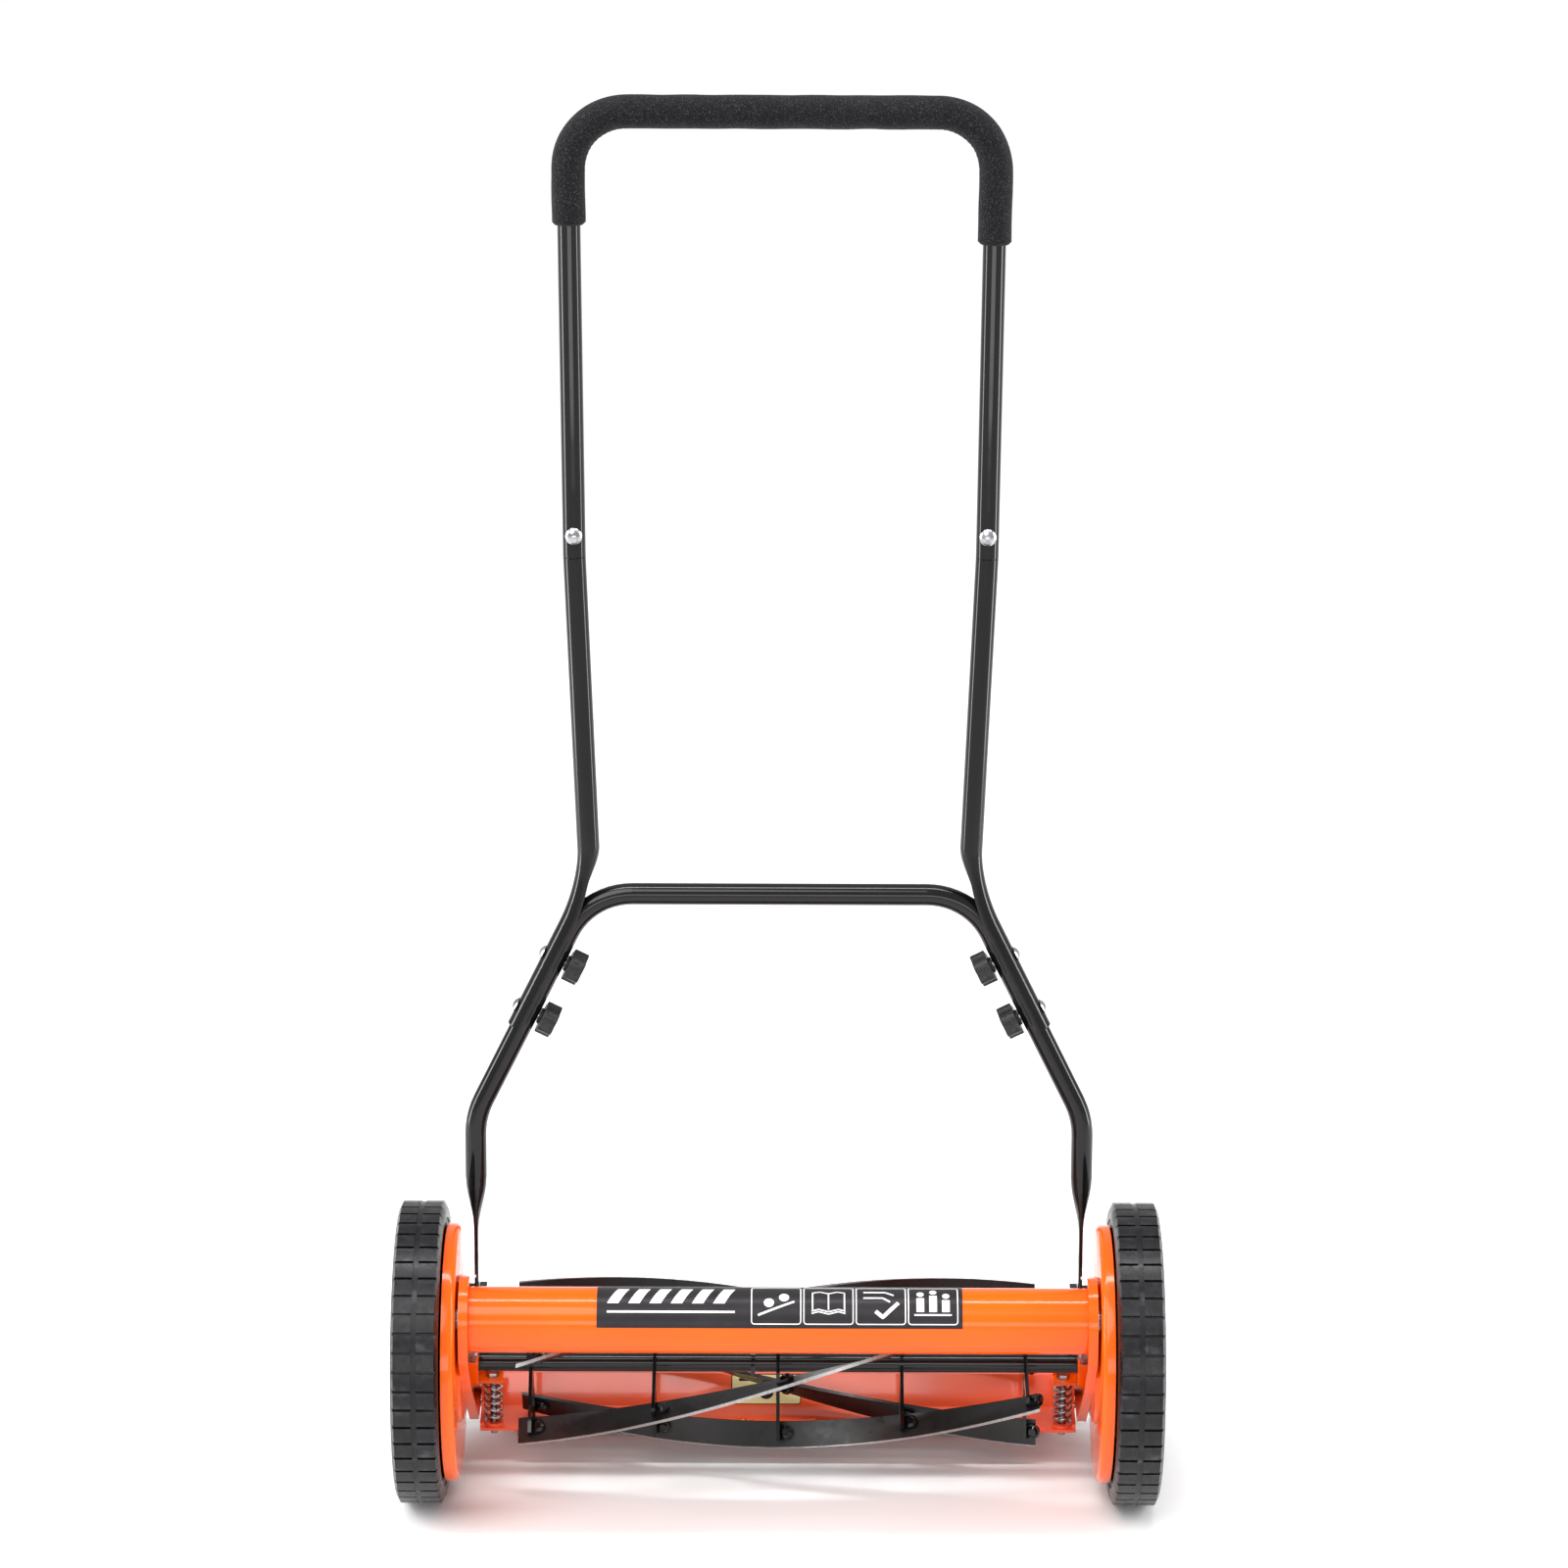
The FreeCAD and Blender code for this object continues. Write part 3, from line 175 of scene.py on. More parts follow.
def edge_mask(f, low=0.515, high=0.56):
    """1 on convex edges, or on inner corners when low is above high."""
    pointed = f.add("ShaderNodeNewGeometry").outputs["Pointiness"]
    return f.ranged(pointed, low, high)


def painted(name, light, dark, rough, coat, spec, peel=1.0):
    """Glossy powder coat: orange peel, faint cloudiness and a few dull specks."""
    f = Finish(name, Coat_Weight=coat, Coat_Roughness=0.04, Specular_IOR_Level=spec)
    cloud = f.ranged(f.noise(7.0), 0.35, 0.65)
    specks = f.ranged(f.noise(1100.0, 1.0), 0.72, 0.82, 0.0, 0.3)
    f.colour(f.mixed(specks, f.mixed(cloud, light, dark), tuple(c * 0.8 for c in dark[:3]) + (1.0,)))
    f.patchy_roughness(rough - 0.03, rough + 0.06, 40.0)
    f.bump(f.noise(300.0, 1.0), 0.03 * peel, 0.0003)
    f.bump(f.noise(1800.0, 1.0), 0.02 * peel, 0.0001)
    return f.material


def orange_plastic():
    f = Finish("orange_plastic", Coat_Weight=0.1, Coat_Roughness=0.25, Specular_IOR_Level=0.4)
    cloud = f.ranged(f.noise(14.0))
    f.colour(f.mixed(cloud, srgb(240, 96, 12), srgb(230, 86, 8)))
    f.patchy_roughness(0.3, 0.42, 90.0, 4.0)
    f.bump(f.cells(1100.0, "SMOOTH_F1"), 0.10, 0.0002)
    f.bump(f.noise(35.0, 2.0), 0.03, 0.001)
    return f.material


def black_rubber():
    """Tyre: dusty; paler on the lugs' edges, partly rub and partly painted highlight; painted shade darkens
    the grooves' corners.
    """
    f = Finish("tyre_rubber", Specular_IOR_Level=0.26)
    dust = f.ranged(f.noise(40.0, 6.0, 0.65), 0.42, 0.72)
    base = f.mixed(dust, srgb(13, 13, 16), srgb(20, 20, 23))
    # Convex lug edges lightened with a patchy mask: partly rubbed wear, partly a painted highlight.
    rub_and_highlight = f.calc("MULTIPLY", edge_mask(f, 0.53, 0.62), f.ranged(f.noise(160.0), 0.4, 0.7, 0.05, 0.35))
    rubbed_and_highlit = f.mixed(rub_and_highlight, base, srgb(96, 96, 100))
    # Inner corners of the grooves darkened almost to black: painted shade.
    f.colour(f.mixed(edge_mask(f, 0.485, 0.42), rubbed_and_highlit, srgb(3, 3, 4)))
    f.patchy_roughness(0.24, 0.38, 220.0, 4.0)
    f.bump(f.noise(900.0, 3.0, 0.5), 0.06, 0.0003)
    return f.material


def black_plastic():
    f = Finish("black_plastic", Specular_IOR_Level=0.3)
    cloud = f.ranged(f.noise(20.0), 0.35, 0.65)
    base = f.mixed(cloud, srgb(17, 17, 18), srgb(24, 24, 25))
    rub = f.calc("MULTIPLY", edge_mask(f), f.ranged(f.noise(300.0, 2.0), 0.35, 0.7, 0.1, 0.7))
    f.colour(f.mixed(rub, base, srgb(64, 64, 65)))
    f.patchy_roughness(0.34, 0.5, 120.0)
    f.bump(f.cells(1500.0, "SMOOTH_F1"), 0.16, 0.00025)
    return f.material


# The blades' ground edge: the radius it starts at, how far it fades in, and how ragged its border is.
GROUND_FROM, GROUND_FADE, GROUND_RAGGED = 0.0716, 0.0002, 0.00015


def blade_steel():
    """Dark coat with the bright edge left by grinding, as a distance from the reel's axis."""
    f = Finish("blade_steel", Specular_IOR_Level=0.4)
    split = f.add("ShaderNodeSeparateXYZ")
    f.link(f.place, split.inputs["Vector"])
    across = f.calc("SUBTRACT", split.outputs["Y"], REEL.y)
    up = f.calc("SUBTRACT", split.outputs["Z"], REEL.z)
    radius = f.calc("SQRT", f.calc("ADD", f.calc("MULTIPLY", across, across), f.calc("MULTIPLY", up, up)))
    ragged = f.ranged(f.noise(70.0, 4.0), to_low=-GROUND_RAGGED, to_high=GROUND_RAGGED)
    ground = f.ranged(f.calc("ADD", radius, ragged), GROUND_FROM, GROUND_FROM + GROUND_FADE)
    coat = f.mixed(f.ranged(f.noise(30.0, 5.0), 0.35, 0.7), srgb(16, 16, 17), srgb(22, 22, 23))
    streaks = f.noise(1.0, 3.0, 0.7, f.stretched((1800.0, 90.0, 90.0)))
    steel = f.mixed(f.ranged(streaks), srgb(172, 171, 169), srgb(130, 129, 128))
    f.colour(f.mixed(ground, coat, steel))
    f.link(f.calc("MULTIPLY", ground, 0.95), f.shader.inputs["Metallic"])
    dull = f.ranged(f.noise(140.0, 4.0), to_low=0.26, to_high=0.42)
    f.roughness(f.calc("ADD", dull, f.calc("MULTIPLY", ground, -0.02)))
    f.bump(streaks, 0.05, 0.0002)
    f.bump(f.noise(500.0), 0.08, 0.0003)
    return f.material


def zinc_steel():
    f = Finish("zinc_plate", Metallic=1.0)
    spangle = f.cells(260.0, output="Color")
    grey = f.add("ShaderNodeRGBToBW")
    f.link(spangle, grey.inputs["Color"])
    tone = f.calc("ADD", f.calc("MULTIPLY", grey.outputs["Val"], 0.4), f.calc("MULTIPLY", f.noise(30.0), 0.6))
    f.colour(f.mixed(f.ranged(tone, 0.25, 0.75), srgb(128, 129, 134), srgb(190, 190, 193)))
    f.patchy_roughness(0.18, 0.36, 190.0)
    f.bump(f.noise(400.0, 2.0), 0.03, 0.0002)
    return f.material


def sintered_steel():
    f = Finish("sintered_steel", Metallic=0.9)
    grain = f.ranged(f.noise(1600.0, 4.0, 0.7), 0.35, 0.65)
    oil = f.ranged(f.noise(60.0, 4.0), 0.45, 0.6)
    f.colour(f.mixed(oil, f.mixed(grain, srgb(92, 92, 95), srgb(120, 120, 122)), srgb(70, 66, 62)))
    f.roughness(f.ranged(oil, 0.0, 1.0, 0.5, 0.28))
    f.bump(grain, 0.15, 0.0002)
    return f.material


def foam():
    f = Finish("grip_foam", Specular_IOR_Level=0.12, Sheen_Weight=0.05, Sheen_Roughness=0.5)
    cell = f.cells(800.0)
    specks = f.ranged(f.noise(760.0, 2.0, 0.6), 0.54, 0.72)
    cloud = f.ranged(f.noise(25.0, 4.0), 0.35, 0.65)
    base = f.mixed(cloud, srgb(15, 15, 17), srgb(20, 20, 22))
    f.colour(f.mixed(specks, base, srgb(60, 60, 64)))
    f.patchy_roughness(0.65, 0.9, 300.0)
    f.bump(f.noise(60.0), 0.15, 0.0012)
    f.bump(cell, 0.8, 0.0008)
    return f.material


def label_film(name, light, dark):
    """Printed vinyl: slight mottle, tiny air marks under the film."""
    f = Finish(name, Coat_Weight=0.05, Coat_Roughness=0.2, Specular_IOR_Level=0.12)
    f.colour(f.mixed(f.ranged(f.noise(50.0, 4.0)), light, dark))
    f.patchy_roughness(0.28, 0.4, 200.0)
    f.bump(f.noise(110.0, 2.0), 0.08, 0.0004)
    return f.material


LOOKS = {
    "orange_paint": painted("orange_powder_coat", srgb(244, 94, 0), srgb(239, 87, 0), 0.17, 0.25, 0.2),
    "orange_plastic": orange_plastic(),
    "black_rubber": black_rubber(),
    "black_plastic": black_plastic(),
    "black_paint": painted("black_powder_coat", srgb(17, 17, 18), srgb(12, 12, 13), 0.08, 0.1, 0.28,
                           peel=0.1),
    "blade_steel": blade_steel(),
    "zinc_steel": zinc_steel(),
    "sintered_steel": sintered_steel(),
    "black_foam": foam(),
}
BY_NODE = {
    # Cutter bar coat: a paler, pinker orange than the tube's. It is partly the bar's own tone and partly
    # painted light, raised to lift the bar out of the shade under the tube.
    "cutter_bar": painted("cutter_bar_coat", srgb(255, 102, 60), srgb(250, 92, 50), 0.14, 0.45, 0.25),
    "bed_knife_screws": LOOKS["orange_paint"],
}
CHARCOAL_FILM = label_film("label_charcoal", srgb(44, 41, 44), srgb(38, 35, 38))
WHITE_FILM = label_film("label_white", srgb(236, 236, 236), srgb(222, 222, 222))
INK_FILM = label_film("label_ink", srgb(52, 48, 44), srgb(40, 37, 34))
YELLOW_FILM = label_film("label_yellow", srgb(248, 234, 176), srgb(242, 224, 158))


# ---------------------------------------------------------------- pieces that carry the CAD shape

SOFT_ANGLE = math.radians(32.0)                 # edges sharper than this are rounded
FLAT_ANGLE = math.radians(0.6)                  # faces flatter than this are joined
SAME_POINT, NO_LENGTH = 2e-6, 1e-6              # points to merge, edges to drop, in metres
BEVEL_SEGMENTS = 2

# Bevel widths in metres: of single nodes, and of nodes that come as a left and a right one.
EDGE_WIDTHS = {"cutter_bar": 0.0004, "bed_knife": 0.0002, "rear_roller": 0.0006, "upper_handle": 0.0005}
EDGE_WIDTHS_OF_PAIRS = {
    "tyre": 0.0005, "side_plate": 0.0004, "dust_cover": 0.0006, "knob_upper": 0.0007, "knob_lower": 0.0007,
    "roller_bracket": 0.0003, "bearing_housing": 0.0004, "hub_cap": 0.0005, "mid_tube": 0.0005,
}


def look_of(node):
    return BY_NODE.get(node) or LOOKS[SLOT_OF[node]]


def linked(name, data):
    """A new object in the scene."""
    holder = bpy.data.objects.new(name, data)
    bpy.context.scene.collection.objects.link(holder)
    return holder


def new_piece(name, mesh, body, material):
    """A visible piece that rides on a CAD body."""
    piece = linked(name, mesh)
    mesh.materials.clear()
    mesh.materials.append(material)
    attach(piece, body)
    return piece


def softened(node, width):
    """A copy of a CAD node with its hard edges rounded."""
    source = NODES[node]
    bm = bmesh.new()
    for vertex in source.data.vertices:
        bm.verts.new(vertex.co)
    bm.verts.ensure_lookup_table()
    for polygon in source.data.polygons:
        corners = [bm.verts[i] for i in polygon.vertices]
        try:
            bm.faces.new(corners)
        except ValueError:                      # the same triangle twice
            continue
    bmesh.ops.remove_doubles(bm, verts=bm.verts, dist=SAME_POINT)
    bmesh.ops.dissolve_degenerate(bm, dist=NO_LENGTH, edges=bm.edges)
    bmesh.ops.dissolve_limit(bm, angle_limit=FLAT_ANGLE, use_dissolve_boundaries=False,
                             verts=bm.verts, edges=bm.edges)
    mesh = bpy.data.meshes.new(node + "_soft")
    bm.to_mesh(mesh)
    bm.free()
    mesh.shade_smooth()
    mesh.set_sharp_from_angle(angle=SOFT_ANGLE)
    piece = new_piece(node + "_soft", mesh, BODY_OF[node], look_of(node))
    bevel = piece.modifiers.new("edges", "BEVEL")
    bevel.width = width
    bevel.segments = BEVEL_SEGMENTS
    bevel.limit_method = "ANGLE"
    bevel.angle_limit = SOFT_ANGLE
    bevel.use_clamp_overlap = True
    bevel.harden_normals = True
    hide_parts(node)


for stem, width in EDGE_WIDTHS_OF_PAIRS.items():
    for hand in HANDS:
        softened(f"{stem}_{hand}", width)
for node, width in EDGE_WIDTHS.items():
    softened(node, width)

for name, node in NODES.items():
    if node.hide_render:
        continue
    node.data.materials.clear()
    node.data.materials.append(look_of(name))


# ---------------------------------------------------------------- foam grip

# The upper loop in the handle's plane: w across, h up from the pivots.
LOOP_TOP_W, LOOP_TOP_H, LOOP_BEND_R = 0.1745, 1.010, 0.047
LOOP_LOW_W, LOOP_LOW_H = 0.1706, 0.642
GRIP_END_H = {"left": 0.918, "right": 0.903}
GRIP_STEPS = {"left": 20, "right": 26, "bend": 32, "top": 120}

GRIP_R, GRIP_BORE_R, GRIP_MAX_R = 0.0138, 0.00955, 0.01395
GRIP_LIP = 0.0022                               # rounding of the grip's ends
GRIP_AROUND = 40                                # points round the grip
WAVES = 6                                       # slow waves in the foam, with the ranges drawn from
WAVE_LENGTH, WAVE_PHASE, WAVE_SIZE = (0.03, 0.11), (0, 6.28), (0.00004, 0.00011)
BEND_REACH, FULL_BEND = 3, 0.16                 # steps each way, and the turn over them in a full bend
CREASE_DEPTH, CREASE_LENGTH = 0.00022, 0.0062


def in_handle(w, h, out):
    """Point of the handle's plane: w across, h up from the pivots, out towards the user."""
    return HANDLE_PIVOT + Vector((w, h * math.sin(HANDLE_LEAN) + out * math.cos(HANDLE_LEAN),
                                  h * math.cos(HANDLE_LEAN) - out * math.sin(HANDLE_LEAN)))


def grip_line():
    """Centreline of the grip in the handle's plane, as (w, h) pairs about 2 mm apart."""
    slope = (LOOP_TOP_W - LOOP_LOW_W) / (LOOP_TOP_H - LOOP_LOW_H)
    turn = math.pi / 2 + math.atan(slope)
    reach = LOOP_BEND_R * math.tan(turn / 2)
    along = Vector((slope, 1.0)).normalized()
    leg_top = LOOP_TOP_H - reach * along.y
    centre_w, centre_h = LOOP_TOP_W - reach, LOOP_TOP_H - LOOP_BEND_R

    def leg(side, hand):
        low, count = GRIP_END_H[hand], GRIP_STEPS[hand]
        heights = [low + (leg_top - low) * i / count for i in range(count + 1)]
        return [(side * (LOOP_TOP_W - slope * (LOOP_TOP_H - h)), h) for h in heights]

    bend = []
    steps = GRIP_STEPS["bend"]
    for i in range(1, steps + 1):
        angle = math.pi / 2 + turn - turn * i / steps
        bend.append((-centre_w + LOOP_BEND_R * math.cos(angle), centre_h + LOOP_BEND_R * math.sin(angle)))
    steps = GRIP_STEPS["top"]
    top = [(-centre_w + 2 * centre_w * i / steps, LOOP_TOP_H) for i in range(1, steps)]
    return leg(-1, "left") + bend + top + [(-w, h) for w, h in bend[::-1]] + leg(1, "right")[-2::-1]


def foam_grip():
    line = grip_line()
    count = len(line)
    lengths = [0.0]
    for a, b in zip(line, line[1:]):
        lengths.append(lengths[-1] + math.hypot(b[0] - a[0], b[1] - a[1]))
    total = lengths[-1]
    waves = [(random.uniform(*WAVE_LENGTH), random.uniform(*WAVE_PHASE), random.uniform(*WAVE_SIZE))
             for _ in range(WAVES)]

    def bend_at(i):
        """How much the grip is bent here, 0 to 1."""
        a, b, c = line[max(i - BEND_REACH, 0)], line[i], line[min(i + BEND_REACH, count - 1)]
        before = math.atan2(b[1] - a[1], b[0] - a[0])
        after = math.atan2(c[1] - b[1], c[0] - b[0])
        return min(1.0, abs((after - before + math.pi) % (2 * math.pi) - math.pi) / FULL_BEND)

    def skin(angle, i):
        """Radius of the foam: rounded ends, slow waves, and creases inside the bends."""
        s = lengths[i]
        near = min(s, total - s)
        drop = 0.0
        if near < GRIP_LIP:
            drop = GRIP_LIP - math.sqrt(max(GRIP_LIP ** 2 - (GRIP_LIP - near) ** 2, 0.0))
        ripple = sum(size * math.sin(2 * math.pi * s / length + phase + (n - 2) * angle)
                     for n, (length, phase, size) in enumerate(waves))
        inside = max(0.0, -math.cos(angle))
        crease = CREASE_DEPTH * bend_at(i) * inside ** 2 * math.sin(2 * math.pi * s / CREASE_LENGTH)
        return min(GRIP_R - drop + ripple + crease, GRIP_MAX_R)

    def ring(i, radius_at):
        a, b = line[max(i - 1, 0)], line[min(i + 1, count - 1)]
        ahead = Vector((b[0] - a[0], b[1] - a[1])).normalized()
        w, h = line[i]
        points = []
        for k in range(GRIP_AROUND):
            angle = 2 * math.pi * k / GRIP_AROUND
            radius = radius_at(angle, i)
            points.append(in_handle(w - ahead.y * radius * math.cos(angle),
                                    h + ahead.x * radius * math.cos(angle), radius * math.sin(angle)))
        return points

    outer = [ring(i, skin) for i in range(count)]
    inner = [ring(i, lambda angle, i: GRIP_BORE_R) for i in range(count)]
    bm = bmesh.new()
    made = [[bm.verts.new(point) for point in points] for points in outer + inner[::-1]]
    for here, there in zip(made, made[1:] + made[:1]):
        for k in range(GRIP_AROUND):
            after = (k + 1) % GRIP_AROUND
            bm.faces.new([here[k], here[after], there[after], there[k]])
    bmesh.ops.recalc_face_normals(bm, faces=bm.faces)
    mesh = bpy.data.meshes.new("grip_foam_sleeve")
    bm.to_mesh(mesh)
    bm.free()
    mesh.shade_smooth()
    piece = new_piece("grip_foam_sleeve", mesh, "handle", LOOKS["black_foam"])
    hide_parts("foam_grip")


foam_grip()


# ---------------------------------------------------------------- labels

# Everything on a label is drawn in millimetres: u along it, v up from its lower edge.
MM_PER_M = 1000.0
ROW_STEP, COLUMN_STEP = 2.0, 8.0                # largest cells of a printed area
FILM_SHARP = math.radians(30)                   # edges sharper than this aren't shaded smooth


def thin_solid(name, areas, body, slot, material, place, low, high):
    """Closed thin pieces over flat grids: place(u, v, lift) puts label coordinates on the surface."""
    bm = bmesh.new()
    for grid in areas:
        top = [[bm.verts.new(place(u, v, high)) for u, v in line] for line in grid]
        bottom = [[bm.verts.new(place(u, v, low)) for u, v in line] for line in grid]
        rows, columns = len(grid), len(grid[0])
        for i in range(rows - 1):
            for j in range(columns - 1):
                bm.faces.new([top[i][j], top[i][j + 1], top[i + 1][j + 1], top[i + 1][j]])
                bm.faces.new([bottom[i][j], bottom[i + 1][j], bottom[i + 1][j + 1], bottom[i][j + 1]])
        rim = [(0, j) for j in range(columns)] + [(i, columns - 1) for i in range(1, rows)]
        rim += [(rows - 1, j) for j in range(columns - 2, -1, -1)] + [(i, 0) for i in range(rows - 2, 0, -1)]
        for (a, b), (c, d) in zip(rim, rim[1:] + rim[:1]):
            bm.faces.new([top[a][b], bottom[a][b], bottom[c][d], top[c][d]])
    bmesh.ops.recalc_face_normals(bm, faces=bm.faces)
    mesh = bpy.data.meshes.new(name)
    bm.to_mesh(mesh)
    bm.free()
    mesh.shade_smooth()
    mesh.set_sharp_from_angle(angle=FILM_SHARP)
    new_piece(name, mesh, body, material)


def patch(u0, v0, u1, v1, step=ROW_STEP, lean=0.0):
    """Grid over a rectangle, or a slanted one."""
    rows = max(1, math.ceil(abs(v1 - v0) / step))
    columns = max(1, math.ceil(abs(u1 - u0) / COLUMN_STEP))
    return [[(u0 + (u1 - u0) * j / columns + lean * i / rows, v0 + (v1 - v0) * i / rows)
             for j in range(columns + 1)] for i in range(rows + 1)]


def rounded_patch(u0, v0, u1, v1, corner):
    """Grid over a rectangle with rounded corners."""
    corner_rows, columns = 5, 12
    heights = [corner * (1 - math.cos(math.pi / 2 * i / corner_rows)) for i in range(corner_rows + 1)]
    middle = v1 - v0 - 2 * corner
    inner = max(1, math.ceil(middle / ROW_STEP))
    levels = [v0 + h for h in heights]
    levels += [v0 + corner + middle * i / inner for i in range(1, inner)]
    levels += [v1 - h for h in heights[::-1]]
    grid = []
    for v in levels:
        depth = min(v - v0, v1 - v)
        inset = corner - math.sqrt(max(corner ** 2 - (corner - depth) ** 2, 0.0)) if depth < corner else 0.0
        grid.append([(u0 + inset + (u1 - u0 - 2 * inset) * j / columns, v) for j in range(columns + 1)])
    return grid


def stroke(points, width, closed=False):
    """Grid along a bent line of even width."""
    finer = []
    for (u0, v0), (u1, v1) in zip(points, points[1:] + (points[:1] if closed else [])):
        parts = max(1, math.ceil(math.hypot(u1 - u0, v1 - v0) / ROW_STEP))
        finer += [(u0 + (u1 - u0) * i / parts, v0 + (v1 - v0) * i / parts) for i in range(parts)]
    finer.append(points[0] if closed else points[-1])
    grid = []
    count = len(finer)
    for i, (u, v) in enumerate(finer):
        if closed:
            before, after = finer[(i - 1) % (count - 1)], finer[(i + 1) % (count - 1)]
        else:
            before, after = finer[max(i - 1, 0)], finer[min(i + 1, count - 1)]
        du, dv = after[0] - before[0], after[1] - before[1]
        length = math.hypot(du, dv) or 1.0
        nu, nv = -dv / length * width / 2, du / length * width / 2
        grid.append([(u - nu, v - nv), (u + nu, v + nv)])
    return grid


def rounded_outline(u0, v0, u1, v1, corner):
    """Corner points of a rounded rectangle's outline, in order."""
    points = []
    for cu, cv, start in ((u1 - corner, v0 + corner, -90), (u1 - corner, v1 - corner, 0),
                          (u0 + corner, v1 - corner, 90), (u0 + corner, v0 + corner, 180)):
        for i in range(5):
            angle = math.radians(start + 22.5 * i)
            points.append((cu + corner * math.cos(angle), cv + corner * math.sin(angle)))
    return points


def disc(u, v, radius):
    """Grid over a disc, in rows from its lowest to its highest point."""
    rows, columns = 12, 8
    grid = []
    for i in range(rows + 1):
        t = math.pi * i / rows
        half = max(radius * math.sin(t), radius * 0.02)     # no zero-length row at either end
        level = v - radius * math.cos(t)
        grid.append([(u + half * (2 * j / columns - 1), level) for j in range(columns + 1)])
    return grid


# Label on the front tube.
LABEL_EDGE = math.radians(12.0)                 # its lower edge, up from the tube's foremost line
LABEL = (-150.5, 0.0, 152.9, 52.0)              # u0, v0, u1, v1
BOX_HALF, BOX_V = 20.4, (3.6, 42.0)
BOX_CENTRES = (-1.7, 41.7, 85.1, 128.4)
BAND_COUNT, BAND_PITCH, BAND_LEAN = 6, 17.6, 9.0
BAND = (-142.0, 21.0, -132.5, 38.5)
UNDERLINE = (-142.0, 12.6, -36.0, 14.4)
FILM_LIFT, PRINT_LIFT = (0.00003, 0.00018), (0.00012, 0.00026)      # lower and upper face, metres


def on_tube(u, v, lift):
    """Label millimetres to the front tube: u along it, v round it from the label's lower edge."""
    angle = LABEL_EDGE + v / (TUBE_R * MM_PER_M)
    radius = TUBE_R + lift
    return Vector((u / MM_PER_M, TUBE.y - radius * math.cos(angle), TUBE.z + radius * math.sin(angle)))


def box_marks(centre, strokes, discs=(), bars=()):
    """One outlined square with its picture, drawn about its own centre line."""
    outline = rounded_outline(centre - BOX_HALF, BOX_V[0], centre + BOX_HALF, BOX_V[1], 2.4)
    drawn = [stroke(outline, 0.9, closed=True)]
    drawn += [stroke([(centre + u, v) for u, v in points], width) for points, width in strokes]
    drawn += [disc(centre + u, v, radius) for u, v, radius in discs]
    drawn += [patch(centre + u0, v0, centre + u1, v1) for u0, v0, u1, v1 in bars]
    return drawn


def front_label_marks():
    """Four plain pictures in squares, six slanted bands and a line under them."""
    slope = [([(-15.0, 11.0), (15.0, 23.0)], 1.8)]
    balls = [(-6.0, 22.0, 4.2), (6.5, 27.5, 4.2)]
    book = [([(0.0, v), (side * 8.2, v + 2.0), (side * 14.0, v + 0.5)], 1.0)
            for v in (12.0, 13.9) for side in (-1, 1)]
    book.append(([(-13.2, 15.5), (-13.2, 33.0), (-7.2, 34.5), (0.0, 32.0),
                  (7.2, 34.5), (13.2, 33.0), (13.2, 15.5)], 1.1))
    book.append(([(0.0, 15.5), (0.0, 32.0)], 1.1))
    tick = [([(-14.4, 34.0), (3.6, 34.0), (10.6, 30.0)], 1.6),
            ([(-14.4, 27.0), (1.6, 27.0), (7.6, 23.0)], 1.6),
            ([(-4.4, 14.5), (1.6, 9.5), (14.6, 22.0)], 3.2)]
    ground = [([(-15.6, 11.5), (15.4, 11.5)], 1.4)]
    posts = ((-10.6, 13.0), (0.0, 16.0), (10.6, 11.0))      # each one's u and height
    heads = [(u, 18.5 + tall, 3.0) for u, tall in posts]
    trunks = [(u - 3.2, 14.0, u + 3.2, 14.0 + tall) for u, tall in posts]

    marks = box_marks(BOX_CENTRES[0], slope, balls)
    marks += box_marks(BOX_CENTRES[1], book)
    marks += box_marks(BOX_CENTRES[2], tick)
    marks += box_marks(BOX_CENTRES[3], ground, heads, trunks)
    u0, v0, u1, v1 = BAND
    for i in range(BAND_COUNT):
        marks.append(patch(u0 + BAND_PITCH * i, v0, u1 + BAND_PITCH * i, v1, lean=BAND_LEAN))
    marks.append(patch(*UNDERLINE))
    return marks


thin_solid("front_label", [patch(*LABEL, step=1.6)], "chassis", "black_plastic",
           CHARCOAL_FILM, on_tube, *FILM_LIFT)
thin_solid("front_label_marks", front_label_marks(), "chassis", "black_plastic",
           WHITE_FILM, on_tube, *PRINT_LIFT)


# Label on the cutter bar.
BAR_RIM, BAR_RIM_CORNER = (-40.5, 1.4, 19.9, 28.4), 2.4
BAR_LABEL, BAR_LABEL_CORNER = (-39.6, 2.2, 19.0, 27.6), 2.0
BAR_DISC, BAR_STRIPE = (-10.3, 12.5, 6.4), (-34.0, 22.0, 13.5, 24.4)
RIM_LIFT, PAPER_LIFT, INK_LIFT = (0.00002, 0.00012), (0.00008, 0.00018), (0.00014, 0.00025)


def on_bar(u, v, lift):
    """Label millimetres to the cutter bar's rising face: v up from its fold."""
    along = Vector((0.0, math.cos(BAR_RISE), math.sin(BAR_RISE)))
    out = Vector((0.0, -math.sin(BAR_RISE), math.cos(BAR_RISE)))
    return BAR_FOLD + Vector((u / MM_PER_M, 0, 0)) + along * (v / MM_PER_M) + out * lift


thin_solid("bar_label_rim", [rounded_patch(*BAR_RIM, BAR_RIM_CORNER)], "cutter_bar", "black_plastic",
           INK_FILM, on_bar, *RIM_LIFT)
thin_solid("bar_label", [rounded_patch(*BAR_LABEL, BAR_LABEL_CORNER)], "cutter_bar", "orange_plastic",
           YELLOW_FILM, on_bar, *PAPER_LIFT)
thin_solid("bar_label_marks", [disc(*BAR_DISC), patch(*BAR_STRIPE)], "cutter_bar", "black_plastic",
           INK_FILM, on_bar, *INK_LIFT)


# ---------------------------------------------------------------- studio

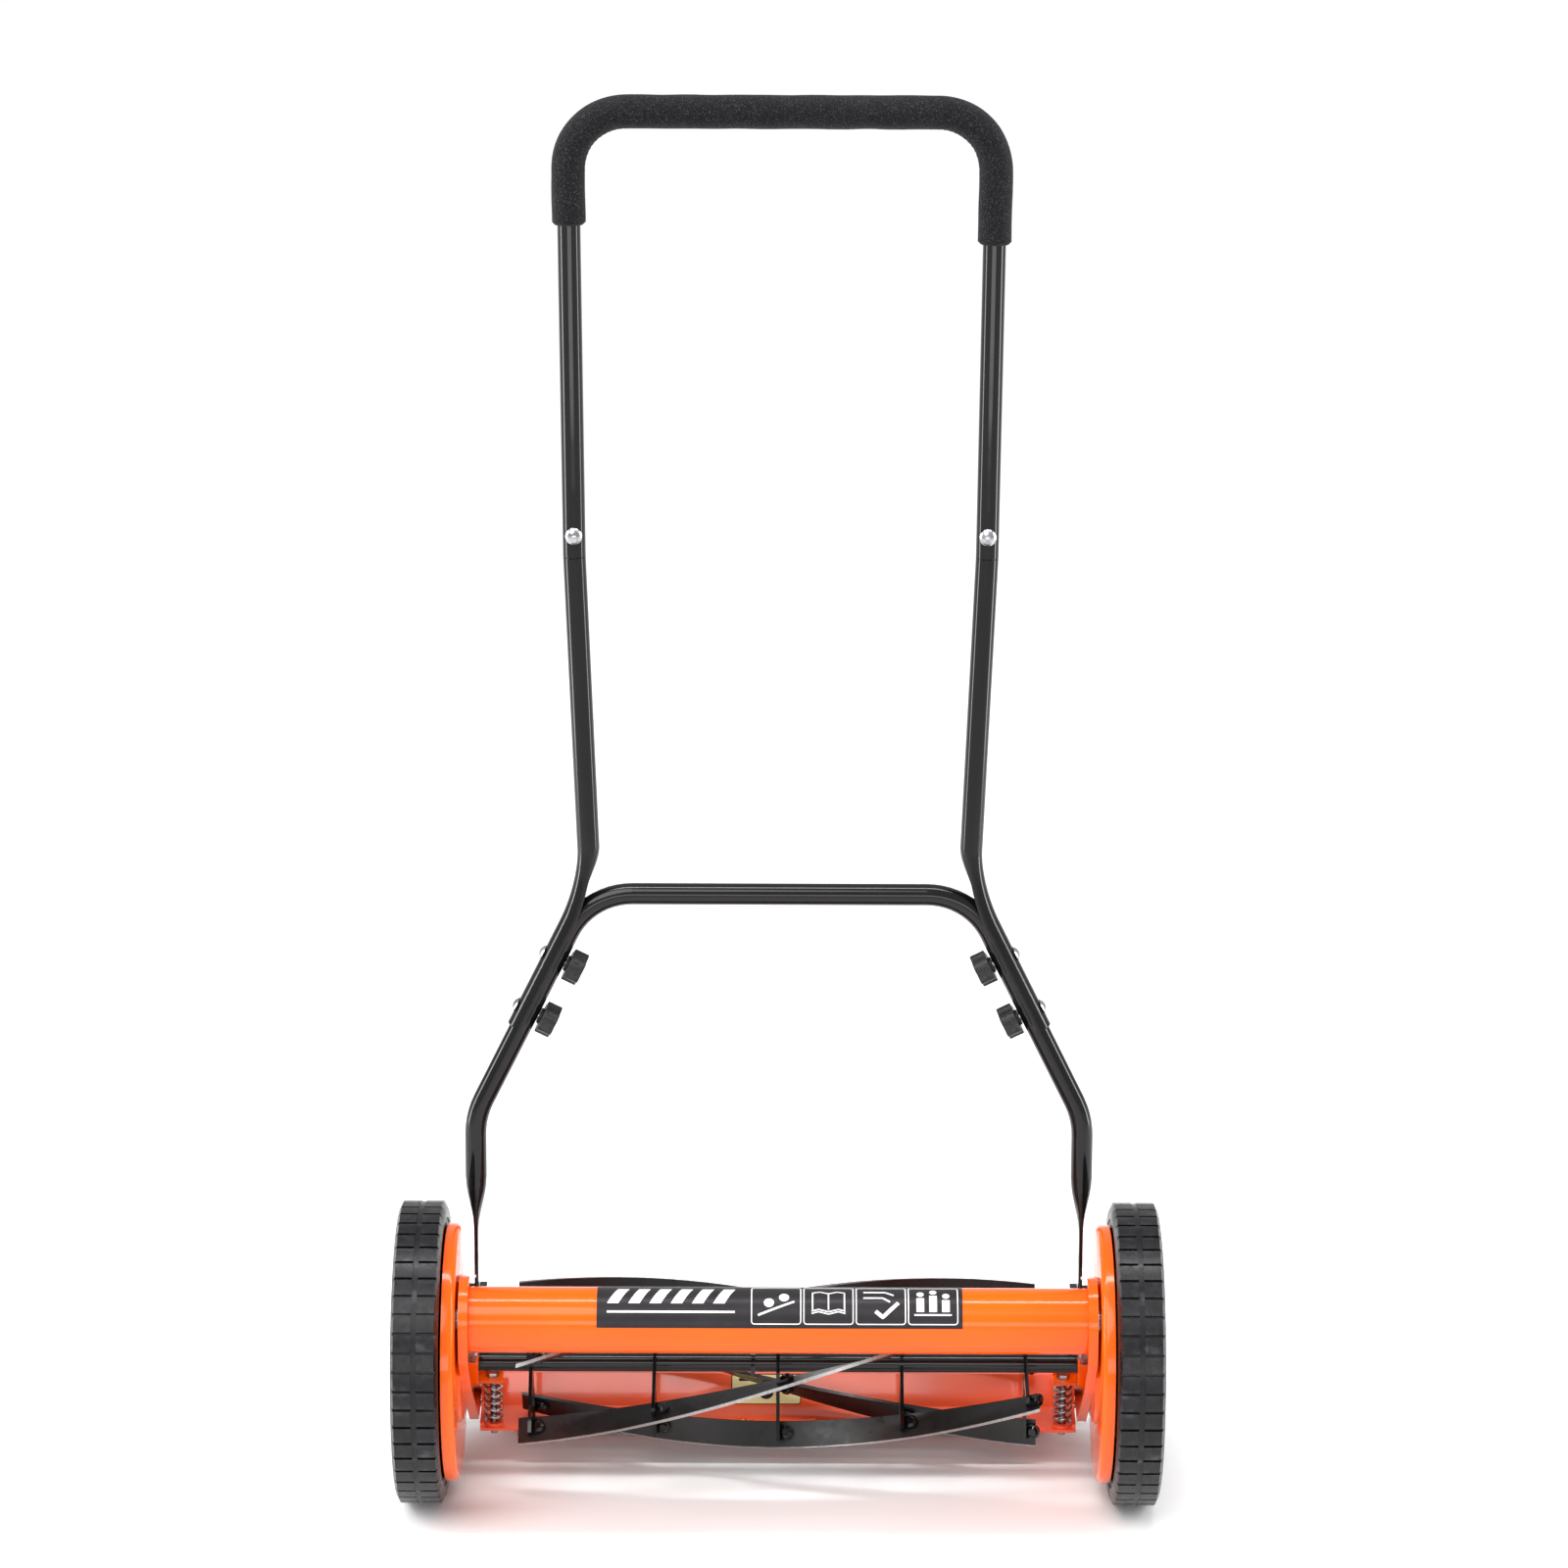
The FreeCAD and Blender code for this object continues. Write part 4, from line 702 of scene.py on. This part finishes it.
FLOOR_SIZE = 60.0
WORLD_STRENGTH = 0.62
SUN_STRENGTH, SUN_ANGLE = 1.8, math.radians(40.0)
SUN_AIM = Vector((0.45, 0.75, -1.15))
LAMPS = (                                       # name, place, target, width, height, watts
    ("left_strip", (-2.2, -0.1, 1.1), (0, 0, 0.6), 0.5, 2.4, 44.0),
    ("right_strip", (2.2, -0.1, 1.1), (0, 0, 0.6), 0.5, 2.4, 38.0),
    ("front_box", (0.0, -3.2, 1.0), (0, 0, 0.2), 2.4, 0.7, 20.0),
    ("top_box", (0.0, 0.15, 2.5), (0, -0.05, 0.2), 2.2, 0.22, 30.0),
)
CAMERA_PLACE = (0.0033, -4.0985, 2.1169)
CAMERA_TILT, CAMERA_ROLL = math.radians(70.0), math.radians(0.2)


def aim(holder, direction):
    """Turns a light's -Z to the direction."""
    holder.rotation_euler = direction.to_track_quat("-Z", "Y").to_euler()


def studio():
    bpy.ops.mesh.primitive_plane_add(size=FLOOR_SIZE, location=(0, 0, 0))
    floor = bpy.context.object
    floor.name = "floor"
    f = Finish("studio_floor", Specular_IOR_Level=0.2)
    f.colour(f.mixed(f.ranged(f.noise(1.5)), srgb(250, 250, 250), srgb(247, 247, 247)))
    f.patchy_roughness(0.6, 0.7, 3.0)
    floor.data.materials.append(f.material)

    world = bpy.data.worlds.new("studio")
    bpy.context.scene.world = world
    world.use_nodes = True
    world.node_tree.nodes["Background"].inputs["Color"].default_value = (1.0, 1.0, 1.0, 1.0)
    world.node_tree.nodes["Background"].inputs["Strength"].default_value = WORLD_STRENGTH

    sun = bpy.data.lights.new("sun", "SUN")
    sun.energy = SUN_STRENGTH
    sun.angle = SUN_ANGLE
    aim(linked("sun", sun), SUN_AIM)

    for name, place, target, width, height, watts in LAMPS:
        lamp = bpy.data.lights.new(name, "AREA")
        lamp.energy = watts
        lamp.shape = "RECTANGLE"
        lamp.size, lamp.size_y = width, height
        holder = linked(name, lamp)
        holder.location = place
        aim(holder, Vector(target) - Vector(place))


def photo_camera():
    data = bpy.data.cameras.new("camera")
    data.lens = 122.4
    data.sensor_width = 36.0
    data.clip_end = 200.0
    camera = linked("camera", data)
    camera.matrix_world = (Matrix.Translation(CAMERA_PLACE) @ Matrix.Rotation(CAMERA_TILT, 4, "X")
                           @ Matrix.Rotation(CAMERA_ROLL, 4, "Z"))
    bpy.context.scene.camera = camera
    bpy.context.scene.view_settings.view_transform = "Standard"


studio()
photo_camera()
